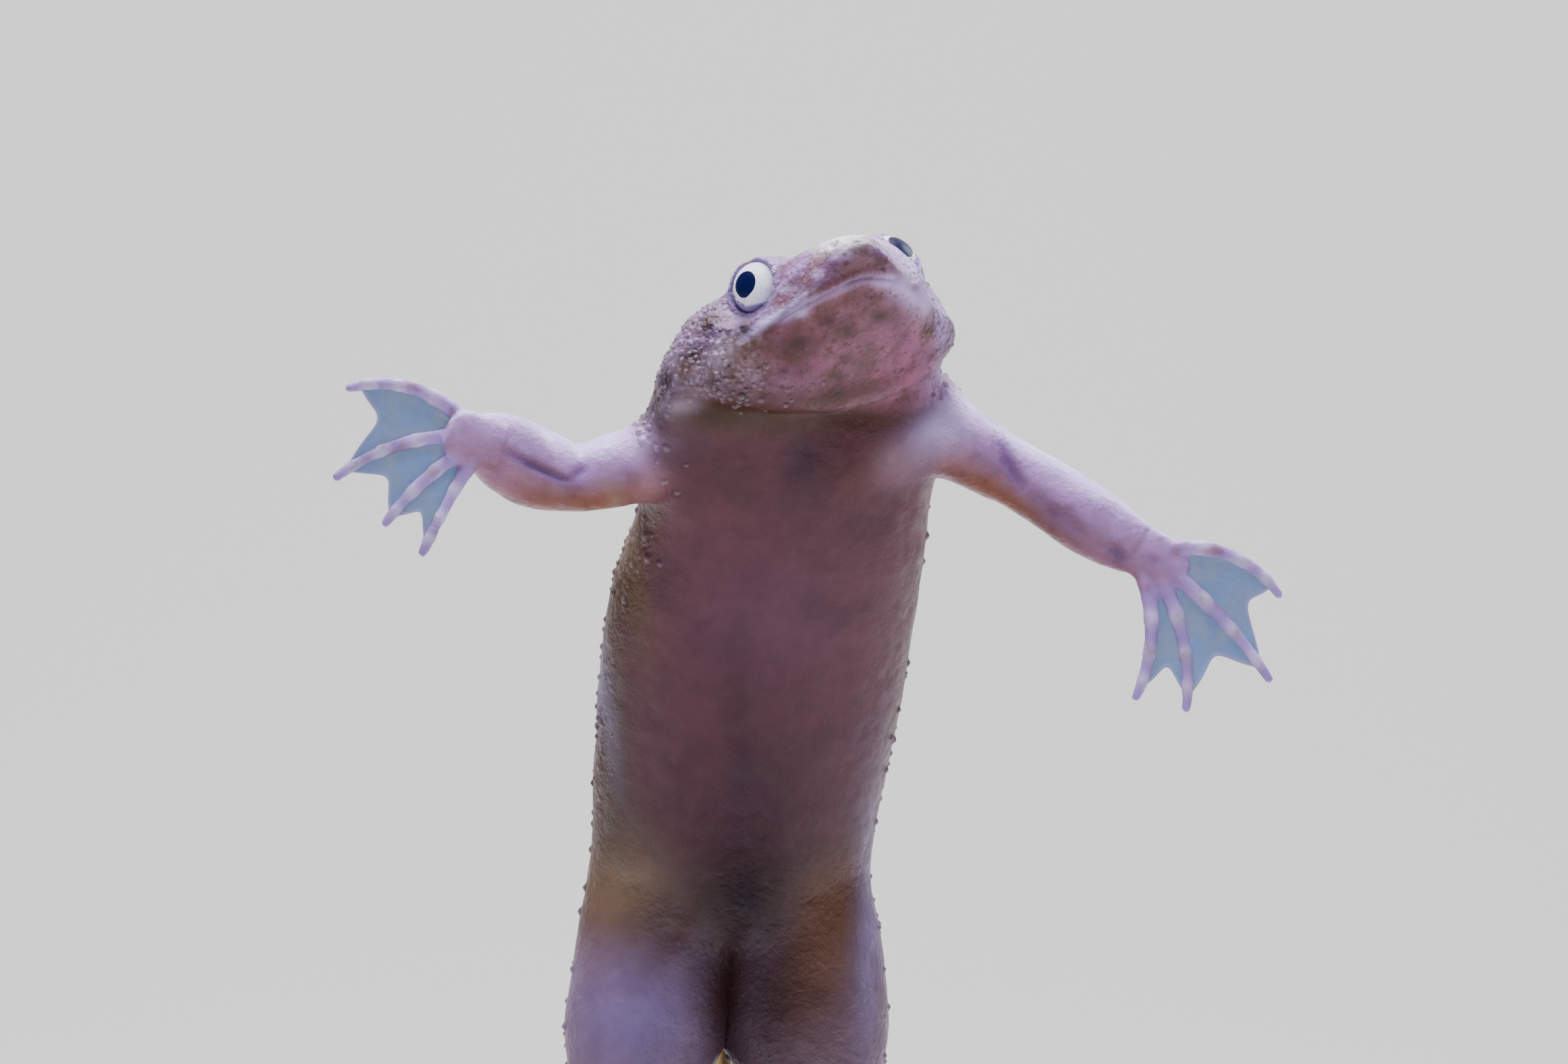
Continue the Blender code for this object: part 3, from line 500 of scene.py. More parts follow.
def raw_skin():
    """All the flesh as overlapping closed bodies, fused into one even mesh."""
    flesh = Surface()
    front = np.linspace(0, 1, 60) ** 2 * 5.0
    rear = SPINE_LENGTH - (1 - np.linspace(0, 1, 36)) ** 2 * 3.0
    places = np.concatenate([front, np.arange(5.2, SPINE_LENGTH - 3.05, 0.2), rear])
    flesh.loft(body_rings(places, 160))
    for stations in LIMBS.values():
        path, sizes, _, across, deep = limb_path(stations, 70)
        flesh.loft(oval_rings(path, sizes, across, deep, 48))
    for rings, paths in HANDS.values():
        flesh.loft(rings)
        for path in paths:
            flesh.loft(digit_rings(path, FINGER_RADII, FINGER_TAPER, FINGER_JOINTS))
    for rings, paths in FEET.values():
        flesh.loft(rings)
        for path in paths:
            flesh.loft(digit_rings(path, TOE_RADII, TOE_TAPER, TOE_JOINTS))
    skin = flesh.build("skin")
    remesh = skin.modifiers.new("even mesh", "REMESH")
    remesh.mode = "VOXEL"
    remesh.voxel_size = VOXEL * MM * 1
    return settle(skin)


def nearest_on_spine(points):
    """For each point: distance behind the snout, sideways, height, signed distance to the body, and angle."""
    at = np.linspace(0, SPINE_LENGTH, 240)
    centre, forward, right, up = spine_at(at)
    best = np.full(len(points), np.inf)
    place = np.zeros(len(points))
    side, height = np.zeros(len(points)), np.zeros(len(points))
    for i in range(len(at)):
        offset = points - centre[i]
        along = offset @ forward[i]
        far = np.abs(along) + 0.002 * (offset**2).sum(axis=1)
        near = far < best
        best[near] = far[near]
        place[near] = at[i] - along[near]
        side[near] = offset[near] @ right[i]
        height[near] = offset[near] @ up[i]
    width, back, belly, level, _ = body_section(np.clip(place, 0, SPINE_LENGTH))
    rise = height - level
    tall = np.where(rise > 0, back, belly)
    share = np.sqrt((side / width) ** 2 + (rise / tall) ** 2)
    outside = np.hypot(side, rise) * (1 - 1 / np.maximum(share, 1e-6))
    return place, side, height, outside, np.arctan2(rise / tall, side / width)


def nearest_on_limb(points, stations):
    """For each point: share of the limb's length, signed distance to its surface."""
    path, sizes, tangent, across, deep = limb_path(stations, 90)
    best = np.full(len(points), np.inf)
    share, outside = np.zeros(len(points)), np.full(len(points), 99.0)
    for i in range(len(path)):
        offset = points - path[i]
        square = (offset**2).sum(axis=1)
        near = square < best
        best[near] = square[near]
        share[near] = i / (len(path) - 1)
        a, b = offset[near] @ across[i], offset[near] @ deep[i]
        c = offset[near] @ tangent[i]
        reach = np.sqrt((a / sizes[i, 0]) ** 2 + (b / sizes[i, 1]) ** 2 + (c / sizes[i, 1]) ** 2)
        outside[near] = np.sqrt(square[near]) * (1 - 1 / np.maximum(reach, 1e-6))
    return share, outside


def nearest_on_line(points, line, reach):
    """Distance of each point from a line, up to this reach, and the line's nearest point, or -1 past it."""
    best = np.full(len(points), reach)
    where = np.full(len(points), -1)
    for i, place in enumerate(line):
        far = np.linalg.norm(points - place, axis=1)
        near = far < best
        best[near], where[near] = far[near], i
    return best, where


def smoothed(mesh, points, weight, rounds):
    """Laplacian smoothing, stronger where the weight is."""
    edges = np.zeros(len(mesh.edges) * 2, np.int32)
    mesh.edges.foreach_get("vertices", edges)
    a, b = edges.reshape(-1, 2).T
    count = np.bincount(a, minlength=len(points)) + np.bincount(b, minlength=len(points))
    for _ in range(rounds):
        total = np.zeros_like(points)
        for axis in range(3):
            total[:, axis] = np.bincount(a, points[b, axis], len(points))
            total[:, axis] += np.bincount(b, points[a, axis], len(points))
        points = points + (total / count[:, None] - points) * weight[:, None]
    return points


def normals_of(mesh, points):
    mesh.vertices.foreach_set("co", (points * MM).astype(np.float32).ravel())
    mesh.update()
    return read_points(mesh, "normal")


def creases(points, normal, spread):
    """How deep each point lies in the creases on the front of the arms, and how much violet shade is painted
    there.
    """
    shade_in_creases, depths = np.zeros(len(points)), np.zeros(len(points))
    front = step(0.25, -0.25, normal[:, 1])
    for line, width, depth, shade_amount in CREASES:
        line = np.array(line)
        along = lengths_along(line)
        dense = rounded_through(along, line, np.linspace(0, along[-1], 160))
        beside = np.abs(points[:, (0, 2)] - line.mean(axis=0)).max(axis=1)
        some = np.where(beside < 4)[0]
        far, where = nearest_on_line(points[some][:, (0, 2)], dense, 1.5)
        fade = np.sin(np.pi * np.clip(where / (len(dense) - 1), 0.02, 0.98)) ** 0.5
        here = np.where(where >= 0, bell(far, width * spread) * fade, 0.0) * front[some]
        shade_in_creases[some] = np.maximum(shade_in_creases[some], here * shade_amount)
        depths[some] = np.maximum(depths[some], here * depth)
    return depths, shade_in_creases


def mouth_path():
    """The line between the lips, from one corner under the snout to the other."""
    behind = np.linspace(0.0, 1.0, 16)[1:] ** 1.5 * (MOUTH_CORNER - MOUTH_FRONT) + MOUTH_FRONT
    centre, _, right, up = spine_at(behind)
    width, _, belly, level, _ = body_section(behind)
    angle = np.radians(8 + 72 * np.exp(-(behind - MOUTH_FRONT) / 0.55))
    halves = []
    for side in (1, -1):
        out = (side * width * np.cos(angle))[:, None] * right
        halves.append(centre + out + (level - belly * np.sin(angle))[:, None] * up)
    middle, _, _, rise = spine_at(np.array([MOUTH_FRONT]))
    _, _, belly, level, _ = body_section(np.array([MOUTH_FRONT]))
    points = np.concatenate([halves[0][::-1], middle + (level - belly)[:, None] * rise, halves[1]])
    along = lengths_along(points)
    return rounded_through(along, points, np.linspace(0, along[-1], 220))


def fractal(points, size, octaves=3, seed=0.0):
    """Smooth noise between about -1 and 1 at each point."""
    scaled = points / size + seed
    return np.array([noise.fractal(Vector(p), 1.0, 2.0, octaves) for p in scaled])


def around_mouth(points):
    """For each point: is the mouth near, height above its line, place along it from -1 (right) to 1."""
    line = mouth_path()
    far, where = nearest_on_line(points, line, MOUTH_REACH)
    above = (points - line[np.maximum(where, 0)]) @ head_frame()[3]
    return where >= 0, np.where(above < 0, -far, far), (where / (len(line) - 1) - 0.5) * 2


def fillet_limbs(mesh, points):
    """Fills the corners between limbs and trunk. Also gives each point's distance from the nearest one."""
    place, _, _, body_gap, _ = nearest_on_spine(points)
    gaps = [body_gap]
    for stations in LIMBS.values():
        gaps.append(nearest_on_limb(points, stations)[1])
    gaps = np.sort(np.abs(np.array(gaps)), axis=0)
    flow = np.clip(1 - gaps[1] / FILLET, 0, 1) * (place > 4.5)
    points = points + normals_of(mesh, points) * (FILLET / 5 * flow**2)[:, None]
    return smoothed(mesh, points, 0.9 * np.clip(flow * 2.0, 0, 1), 40), gaps[0]


def lip_rise(points):
    """The mouth's line, a raised band along each lip and a dip under the lower one."""
    near, height, along = around_mouth(points)
    rise = 0.05 * bell(height + 0.20, 0.16) + 0.05 * bell(height - 0.26, 0.20)
    rise = rise - 0.06 * bell(height, 0.085) - 0.04 * bell(height + 0.72, 0.2)
    return near * (1 - step(0.72, 0.98, np.abs(along))) * rise


def knee_crease(points, stations):
    """A crease across the front of a knee."""
    along = lengths_along(stations[:, :3])
    share, gap = nearest_on_limb(points, stations)
    beside = (share * along[-1] - along[KNEE]) + 0.25 * np.sin(points[:, 1] * 2.1)
    return 0.12 * bell(gap, 0.5) * bell(beside, 0.22)


def lid_heading(sign, axis):
    """Direction in the eye's plane from which its lid reaches over it."""
    return unit(np.array(LID[sign]) - axis * (axis @ LID[sign]))


def seat_eye(points, sign):
    """Moves the skin round an eye to a low rim at the cornea, dipping behind the edge of the iris."""
    centre, axis = eye_place(sign)
    offset = points - centre
    level = offset @ axis
    across = offset - level[:, None] * axis
    ring = np.linalg.norm(across, axis=1)
    near = (np.linalg.norm(offset, axis=1) < 3.4) & (level > -1.6)
    rim = 0.30 - 0.55 * np.clip(ring - 1.16, 0, 1) ** 1.5 + 0.05 * bell(ring - 1.26, 0.10)
    rim = rim - 5.0 * np.clip(1.12 - ring, 0, 0.2)
    moved = level + (rim - level) * (1 - step(1.18, 2.1, ring)) * near
    cup = np.where(ring < 0.98, -0.75, 9.0)
    moved = np.where(near, np.minimum(moved, cup), level)
    if sign == -1:
        # In front of the left eye the cheek swells up to the edge of the pupil, with no hollow below it.
        towards = step(0.10, 0.80, unit(across) @ lid_heading(sign, axis))
        towards = towards * step(1.02, 1.14, ring) * (1 - step(3.2, 4.6, ring))
        moved = moved + towards * 0.66 * bell(ring - 1.35, 1.15) * (level < 2.6) * (level > -1.2)
    return points + (moved - level)[:, None] * axis


def shape_skin(skin):
    """Fillets the limbs, then raises and sinks the lips, eye rims, nostrils, folds and low swellings."""
    mesh = skin.data
    points = read_points(mesh) / MM
    points = smoothed(mesh, points, np.full(len(points), 0.5), 4)
    points, gap = fillet_limbs(mesh, points)
    normal = normals_of(mesh, points)
    behind, out, above = in_head_frame(points)
    rise = np.zeros(len(points))
    some = np.where((behind > -0.5) & (behind < 6.5) & (np.abs(out) < 7))[0]
    rise[some] += lip_rise(points[some])

    # Nostrils: a small pit with a soft rim on each side of the snout's tip.
    for sign in (1, -1):
        away = np.linalg.norm(points - head_point(NOSTRIL_PLACE, sign), axis=1)
        rise += 0.07 * bell(away - 0.33, 0.14) - 0.22 * bell(away, 0.15)

    # Low swellings, and creases across the knees, the elbows and the armpits.
    some = np.where(gap < 3)[0]
    rise[some] += 0.05 * fractal(points[some], 2.6, 3, 3.1) + 0.016 * fractal(points[some], 0.75, 2, 7.7)
    for stations in (LEG_RIGHT, LEG_LEFT):
        rise -= knee_crease(points, stations) * (normal[:, 1] < 0.35)
    rise -= creases(points, normal, 1.0)[0]
    points = points + normal * rise[:, None]

    # The side of the snout below the left eye is rounder, and the ankles flow into the feet.
    soft = bell(behind - 3.0, 1.7) * bell(out + 3.0, 1.2) * bell(above - 0.8, 1.2)
    soft = np.maximum(soft, bell(points[:, 2] - 20.6, 1.5))
    points = smoothed(mesh, points, 0.9 * np.clip(soft * 1.4, 0, 1), 50)
    for sign in (1, -1):
        points = seat_eye(points, sign)

    mesh.vertices.foreach_set("co", (points * MM).astype(np.float32).ravel())
    mesh.update()
    fewer = skin.modifiers.new("fewer faces", "DECIMATE")
    fewer.ratio = min(1.0, SKIN_FACES / (len(mesh.polygons) * 2))
    settle(skin)
    return skin


# Colours as they look under white light
BELLY = (0.096, 0.033, 0.046)
# Dark belly tone of the mid-line and dark patches, also used as painted shade at the pelvis, the vent and
# between the thighs.
BELLY_DARK = (0.038, 0.013, 0.021)
CHIN = (0.190, 0.074, 0.110)
# Olive of the flanks, also used as painted shade under the throat's fold.
OLIVE = (0.075, 0.046, 0.018)
BACK = (0.075, 0.050, 0.034)
LAVENDER = (0.410, 0.270, 0.620)
# Pale lavender of lips and skin, also used as painted light on the arms' tops and shoulders.
PALE = (0.680, 0.580, 0.950)
ARM = (0.460, 0.290, 0.560)
# Warm brown of the arms' undersides, partly painted shade.
WARM_BROWN_AND_SHADE = (0.165, 0.066, 0.026)
# Violet painted as shade in the arms' creases.
VIOLET_CREASE_SHADE = (0.040, 0.012, 0.090)
SPOT = (0.012, 0.005, 0.006)
BROWN = (0.070, 0.022, 0.010)
BEIGE = (0.230, 0.170, 0.120)
SHADE = (0.034, 0.013, 0.008)
PINK = (0.270, 0.098, 0.160)
CHIN_CLOUD = (0.070, 0.028, 0.026)
CHEEK = (0.200, 0.130, 0.105)
JAW = (0.400, 0.270, 0.500)
SNOUT = (0.230, 0.110, 0.165)
CROWN = (0.300, 0.210, 0.400)
TEMPLE = (0.270, 0.190, 0.290)
LIP = (0.540, 0.400, 0.680)
LIP_LINE = (0.170, 0.060, 0.100)
EYE_RIM = (0.420, 0.340, 0.600)
HIGHLIGHT = (0.950, 0.940, 1.000)
# Painted shade on the arms' faces that turn downwards.
ARM_SHADE = (0.240, 0.120, 0.170)
SHOULDER = (0.400, 0.240, 0.330)
HIP = (0.070, 0.038, 0.036)
THIGH = (0.175, 0.120, 0.155)
LIMB_REAR = (0.190, 0.130, 0.130)
LIMB_BLOTCH = (0.035, 0.020, 0.016)
DIGIT = (0.400, 0.300, 0.680)
# Pale colour of the digits' joints, also used as painted light on their upper faces.
PALE_KNUCKLE_AND_LIGHT = (0.750, 0.700, 0.950)
DIGIT_FLECK = (0.200, 0.085, 0.050)
SATURATION = 1.15
# Soft patches on the front, in millimetres: sideways place, height, half width, half height, lean in
# degrees, colour and strength.
PATCHES = {
    "throat, dark spot": (2.0, 63.1, 0.75, 0.95, -10, (0.040, 0.018, 0.034), 0.75),
    "throat, brown cloud on the left": (4.2, 62.2, 1.05, 1.15, 15, BROWN, 0.45),
    "throat, brown cloud on the right": (-1.3, 62.4, 1.9, 1.3, 10, (0.060, 0.022, 0.022), 0.60),
    # Painted shade under the throat's fold, on both sides.
    "neck, painted shade under the fold on the right": (-1.2, 65.0, 3.9, 0.75, -4, (0.038, 0.018, 0.008), 0.95),
    "neck, painted shade under the fold on the left": (3.0, 65.4, 1.9, 0.60, 22, (0.055, 0.022, 0.014), 0.75),
    "chest, rose cloud": (0.6, 56.5, 2.6, 2.2, 0, (0.090, 0.038, 0.070), 0.45),
    "flank, olive": (-5.1, 57.4, 0.60, 2.8, 8, OLIVE, 0.75),
    "flank, beige edge below the arm": (-5.6, 60.4, 0.35, 1.7, 14, BEIGE, 0.65),
    "flank, brown at the ribs": (-6.2, 52.5, 0.85, 3.4, 2, (0.042, 0.024, 0.010), 0.80),
    "flank, brown at the waist": (-6.0, 46.8, 1.05, 2.6, 2, (0.040, 0.024, 0.010), 0.75),
    "hip, tan": (-5.9, 44.4, 1.9, 2.2, -8, (0.190, 0.130, 0.085), 0.80),
    "right thigh, lavender": (-5.2, 39.0, 2.8, 2.4, 0, (0.215, 0.165, 0.330), 0.85),
    "right groin, brown crease": (-2.7, 43.6, 0.50, 2.6, -38, (0.080, 0.034, 0.020), 0.60),
    "belly, dark mid-line": (-0.6, 49.0, 0.75, 4.4, 2, BELLY_DARK, 0.85),
    # Painted shade between the thighs: the groin and both thighs' inner sides.
    "groin, painted shade between the thighs": (-0.6, 44.0, 2.3, 2.1, 0, (0.010, 0.004, 0.008), 1.00),
    "right thigh, painted shade on the inner side": (-1.3, 40.0, 1.2, 3.0, -4, (0.032, 0.012, 0.008), 0.95),
    "left thigh, painted shade on the inner side": (1.1, 39.8, 1.5, 3.0, -14, (0.036, 0.018, 0.032), 0.90),
    "left thigh, orange brown": (2.9, 42.0, 1.45, 3.3, -14, (0.200, 0.100, 0.042), 0.55),
    # Painted rim light along the left thigh's outer edge.
    "left thigh, painted rim light": (4.9, 42.5, 0.60, 5.0, -2, (0.230, 0.190, 0.330), 0.65),
    # Painted highlight on the left shoulder.
    "left shoulder, painted highlight": (8.4, 64.9, 2.0, 0.8, 38, PALE, 0.85),
    "left armpit, rose": (5.9, 63.0, 1.0, 0.7, 30, (0.300, 0.180, 0.200), 0.45),
    # Painted rim light along the outline of the neck and of the flank.
    "neck, painted rim light": (-6.1, 66.0, 0.5, 1.3, 22, (0.520, 0.450, 0.700), 0.60),
    "flank, painted rim light": (-6.9, 55.0, 0.42, 4.2, 10, (0.300, 0.270, 0.400), 0.55),
    # Painted highlight along the top of the right shoulder.
    "right shoulder, painted highlight": (-7.3, 64.0, 2.2, 0.6, -8, PALE, 0.45),
}
# Marks on the front of the head, placed on the photo: pixels across and down to the middle, half width and
# half height in pixels, lean in degrees, colour and strength. Their colours are chosen too.
HEAD_MARKS = {
    "chin, brown cloud at the mouth": (1222, 472, 42.5, 14.5, 32, (0.150, 0.066, 0.058), 0.40),
    "chin, pink on the left": (1350, 520, 35.5, 26.5, 0, (0.300, 0.115, 0.200), 0.45),
    "lip, pale on the left": (1345, 430, 40.5, 20.5, -30, (0.600, 0.480, 0.800), 0.60),
    "lip, red fleck": (1356, 427, 7.5, 6, 0, (0.220, 0.050, 0.140), 0.75),
    "snout, brown band over the lip": (1280, 398, 32, 13, -5, (0.160, 0.075, 0.075), 0.80),
    "snout, dark spot on the right": (1232, 398, 14.5, 11.5, 0, (0.090, 0.035, 0.035), 0.80),
    "snout, dark spot at the far eye": (1296, 386, 11.5, 12.5, 0, (0.110, 0.045, 0.050), 0.75),
    "cheek, pale streak": (1158, 432, 24.5, 7, 18, (0.550, 0.500, 0.720), 0.60),
    "lip, pale dot": (1188, 466, 8, 7, 0, (0.620, 0.600, 0.850), 0.60),
    "snout, pale dot": (1210, 408, 8, 6, 0, (0.660, 0.620, 0.800), 0.55),
    "right brow, violet": (1192, 384, 14.5, 8, 35, (0.260, 0.140, 0.450), 0.60),
    "far brow, violet": (1305, 372, 14.5, 9, -20, (0.330, 0.200, 0.450), 0.60),
    # Painted highlight on the snout's tip.
    "snout, painted highlight on the tip": (1243, 361, 41, 15, 5, (0.970, 0.960, 1.000), 0.85),
    "chin, rose below the lip": (1259, 458, 57.5, 19.5, 10, (0.210, 0.090, 0.110), 0.45),
    "temple, pale patch": (1072, 512, 16, 26.5, -25, (0.470, 0.400, 0.520), 0.70),
    "neck, pale patch": (1010, 600, 28.5, 12, 10, (0.330, 0.260, 0.330), 0.60),
    # Painted rim light along the jaw's left edge.
    "jaw, painted rim light on the left edge": (1398, 480, 8, 38.5, 0, (0.500, 0.400, 0.720), 0.55),
    "jaw, dark streak on the left": (1334, 494, 9, 20.5, 0, (0.070, 0.035, 0.060), 0.50),
    "temple, brown fleck": (1092, 503, 14.5, 8, 30, (0.100, 0.070, 0.030), 0.60),
    "chin, middle blotch": (1254, 492, 17, 12, 0, SHADE, 0.95),
    "chin, left blotch": (1306, 470, 15, 9.5, 0, SHADE, 0.95),
    "chin, right blotch": (1224, 478, 12, 8.5, 0, SHADE, 0.90),
    "chin, blotch at the mouth's corner": (1182, 510, 18.5, 11, 20, SHADE, 0.90),
    "jaw, left blotch": (1378, 488, 8.5, 6.5, 0, SHADE, 0.95),
    "throat, upper blotch": (1238, 555, 14.5, 8, 0, SHADE, 0.95),
    "throat, lower blotch": (1238, 586, 11, 7, 0, SHADE, 0.90),
    "cheek, brown spot": (1176, 420, 12, 8, 0, (0.070, 0.028, 0.028), 0.80),
    "cheek, purple spot": (1154, 437, 8, 6.5, 0, (0.100, 0.030, 0.100), 0.80),
    "cheek, blue spot": (1134, 450, 6.5, 7.5, 0, (0.070, 0.040, 0.160), 0.80),
    "temple, front spot": (1104, 488, 12, 9.5, 0, SPOT, 0.98),
    "temple, long spot": (1050, 486, 13, 22, -5, SPOT, 0.98),
    "temple, rear spot": (1028, 524, 16.5, 15, 0, SPOT, 0.98),
    "neck, spot": (986, 562, 12, 15, 0, SPOT, 0.98),
}
# Dark spots of the head and throat: behind the snout's tip, outwards to the right, above the lips, radius.
SPOTS = [
    (7.3, 5.6, 0.9, 0.30), (8.4, 6.1, 1.2, 0.34), (2.7, 0.4, -1.0, 0.22), (5.0, 0.3, -1.7, 0.30),
    (6.6, 0.5, -2.2, 0.22), (5.2, 3.0, -1.5, 0.2), (2.1, 1.7, 1.1, 0.22), (3.2, -3.0, 1.6, 0.2),
    (5.3, 0.6, 3.2, 0.5), (7.4, -1.9, 3.6, 0.6), (6.8, 2.3, 3.4, 0.45), (4.0, -0.9, 2.9, 0.4),
    (6.0, -4.9, 1.9, 0.4), (7.6, -5.6, 1.2, 0.4),
]
# Dark spots of the back: share of the trunk's length behind the neck, angle from the mid-line, radius.
BACK_SPOTS = [
    (0.06, 8, 0.7), (0.13, -38, 0.9), (0.17, 30, 0.8), (0.26, -8, 0.9), (0.30, 55, 0.8), (0.36, -52, 0.9),
    (0.43, 22, 1.0), (0.50, -24, 0.8), (0.55, 58, 0.7), (0.62, 2, 0.9), (0.66, -58, 0.8), (0.74, 34, 0.8),
    (0.80, -26, 0.8), (0.88, 6, 0.7), (0.22, 72, 0.6), (0.58, -78, 0.6),
]


def painted(base, colour, amount):
    """The base colours, covered by one colour or by one for each point."""
    return base + (np.asarray(colour) - base) * np.clip(amount, 0, 1)[:, None]


def layered(colour, *layers):
    """Paints (colour, amount) layers one over the other."""
    for tone, amount in layers:
        colour = painted(colour, tone, amount)
    return colour


def head_patches():
    """The head's marks as patches, their pixels turned into millimetres at the front of the head."""
    middle_x, middle_y, middle_z = PHOTO_MIDDLE
    scale = PHOTO_SCALE * CAMERA_AWAY / (CAMERA_AWAY + HEAD_FRONT - middle_y)
    for across, down, wide, tall, lean, tone, strength in HEAD_MARKS.values():
        x = middle_x + (across - PHOTO_WIDTH / 2) / scale
        z = middle_z - (down - PHOTO_HEIGHT / 2) / scale
        yield x, z, wide / scale, tall / scale, lean, tone, strength


def add_patches(colour, points, facing, patches):
    """Paints soft oval patches on the points that face forwards."""
    for x, z, wide, tall, lean, tone, strength in patches:
        turn = math.radians(lean)
        a, b = points[:, 0] - x, points[:, 2] - z
        across, along = a * math.cos(turn) + b * math.sin(turn), b * math.cos(turn) - a * math.sin(turn)
        far = np.sqrt((across / wide) ** 2 + (along / tall) ** 2)
        colour = painted(colour, tone, strength * np.exp(-0.9 * far**2) * facing)
    return colour


class Places:
    """Where each point of the skin lies on the animal, and two noises that vary its looks."""

    def __init__(self, mesh):
        self.points = read_points(mesh) / MM
        self.normal = read_points(mesh, "normal")
        self.place, self.side, _, self.body_gap, angle = nearest_on_spine(self.points)
        turn = np.degrees(angle)
        self.turn = turn
        self.ventral = np.where(turn < 0, step(0, 35, -turn) * step(0, 35, 180 + turn), 0.0)
        self.dorsal = np.where(turn > 0, step(12, 50, turn) * step(12, 50, 180 - turn), 0.0)
        self.flank = np.clip(1 - self.ventral - self.dorsal, 0, 1)
        self.broad = fractal(self.points, 4.5, 3, 11.3)
        self.mottle = fractal(self.points, 1.15, 3, 5.9)
        self.behind, self.out, self.above = in_head_frame(self.points)
        self.length = np.clip((self.place - NECK) / (SPINE_LENGTH - NECK), 0, 1)
        self.on_head = 1 - step(NECK - 0.7, NECK + 0.5, self.place)
        self.to_neck = 1 - step(11.5, 13.5, self.place)
        self.chin = self.ventral * self.on_head
        self.upper = self.on_head * step(-0.2, 0.8, self.above)
        low = step(-2.4, -0.6, self.above)
        self.cheek = self.on_head * bell(self.behind - 6.0, 1.9) * step(2.6, 4.4, np.abs(self.out)) * low
        self.temple = self.to_neck * step(4.5, 6.5, self.behind) * step(0.5, 2.5, self.out)
        self.temple = self.temple * step(-2.6, -0.6, self.above)
        self.temple = self.temple * (1 - 0.9 * self.ventral * step(7.5, 9.0, self.place))


def paint_trunk(s):
    """Mauve brown belly with a darker mid-line, olive flanks and a brown back."""
    stripe = bell(s.side + 0.4, 1.1 + 1.0 * s.length) * step(0.25, 0.85, s.length)
    # Painted shade at the vent, between the thighs.
    vent_shade = bell(s.side - 0.1, 1.5) * step(SPINE_LENGTH - 6.5, SPINE_LENGTH - 3.5, s.place)
    chest = bell(s.side - 0.4, 1.6) * bell(s.place - NECK - 3.6, 1.5)
    return layered(
        np.tile(BELLY, (len(s.points), 1)),
        (BACK, s.dorsal + 0.25 * s.flank),
        (OLIVE, s.flank * (0.55 + 0.35 * s.broad)),
        # Painted shade: the belly darkens towards the pelvis.
        (BELLY_DARK, 0.9 * step(0.35, 0.95, s.length) * s.ventral),
        (BELLY_DARK, stripe * s.ventral * 0.85),
        # Painted shade at the vent.
        (BELLY_DARK, vent_shade * s.ventral),
        (BELLY_DARK, 0.35 * s.ventral * step(-0.1, 0.5, s.broad) * (1 - s.on_head)),
        (BELLY_DARK, chest * s.ventral * 0.55),
        # Painted shade: an olive band under the throat's fold.
        (OLIVE, 0.5 * bell(s.place - NECK - 0.5, 0.8) * s.ventral),
    )


def paint_head(s, colour):
    """Mauve chin, a golden right cheek, a brownish snout, a lavender crown and temple, and a brown rear."""
    clouds = step(0.0, 0.55, fractal(s.points, 1.3, 4, 41.0)) * s.chin
    golden = s.cheek * (1 - step(1.8, 2.8, s.above)) * np.where(s.out > 0, 0.8, 0.15)
    jaw = s.on_head * bell(s.out + 5.6, 1.3) * step(2.0, 4.5, s.behind)
    crown = s.upper * step(2.0, 3.2, s.above) * (1 - step(6.0, 8.5, s.behind))
    rear = s.to_neck * step(0.0, 0.5, s.normal[:, 1])
    return layered(
        colour,
        (CHIN, s.chin * (0.85 + 0.3 * s.mottle)),
        (PINK, bell(s.out + 3.2, 1.9) * s.chin * 0.7),
        (CHIN_CLOUD, clouds * 0.50),
        (CHEEK, golden),
        (JAW, jaw * (0.65 + 0.3 * s.mottle)),
        (SNOUT, s.upper * 0.9 * (1 - step(3.0, 7.0, s.behind))),
        (LAVENDER, s.upper * np.clip(0.35 + 0.9 * s.mottle, 0, 0.85)),
        (PALE, s.upper * 0.7 * step(-0.6, -2.2, s.out) * bell(s.behind - 3.0, 1.6)),
        (CROWN, crown * (0.5 + 0.4 * s.broad)),
        (TEMPLE, s.temple * (0.60 + 0.6 * s.mottle)),
        (np.array(BACK) * 1.5, rear * (0.85 + 0.3 * s.mottle)),
    )


def paint_lips(s, colour):
    """Pale lips, wider towards the left, a brown gape and a fine dark line. Also gives the lips' masks."""
    some = np.where((s.place < 6.5) & (s.body_gap > -2))[0]
    near, height, along = around_mouth(s.points[some])
    lower, upper, gape, seam = np.zeros((4, len(s.points)))
    wider = step(-0.1, 0.6, along)
    band = np.exp(-(((height + 0.07 + 0.12 * wider) / (0.19 + 0.30 * wider)) ** 2))
    lower[some] = near * band * step(-0.80, -0.62, along) * (1 - step(0.80, 1.0, along))
    upper[some] = near * bell(height - 0.34, 0.22) * step(-0.30, -0.52, along)
    gape[some] = near * bell(height - 0.30, 0.10) * step(-0.60, -0.45, along) * step(0.0, -0.2, along)
    seam[some] = near * bell(height, 0.05) * step(-0.45, -0.3, along)
    colour = layered(
        colour,
        (LIP, lower * (0.70 + 0.25 * s.mottle)),
        (PALE, upper * (0.65 + 0.7 * s.mottle)),
        (BROWN, gape * 0.55),
        (LIP_LINE, seam * 0.35),
    )
    return colour, lower, upper


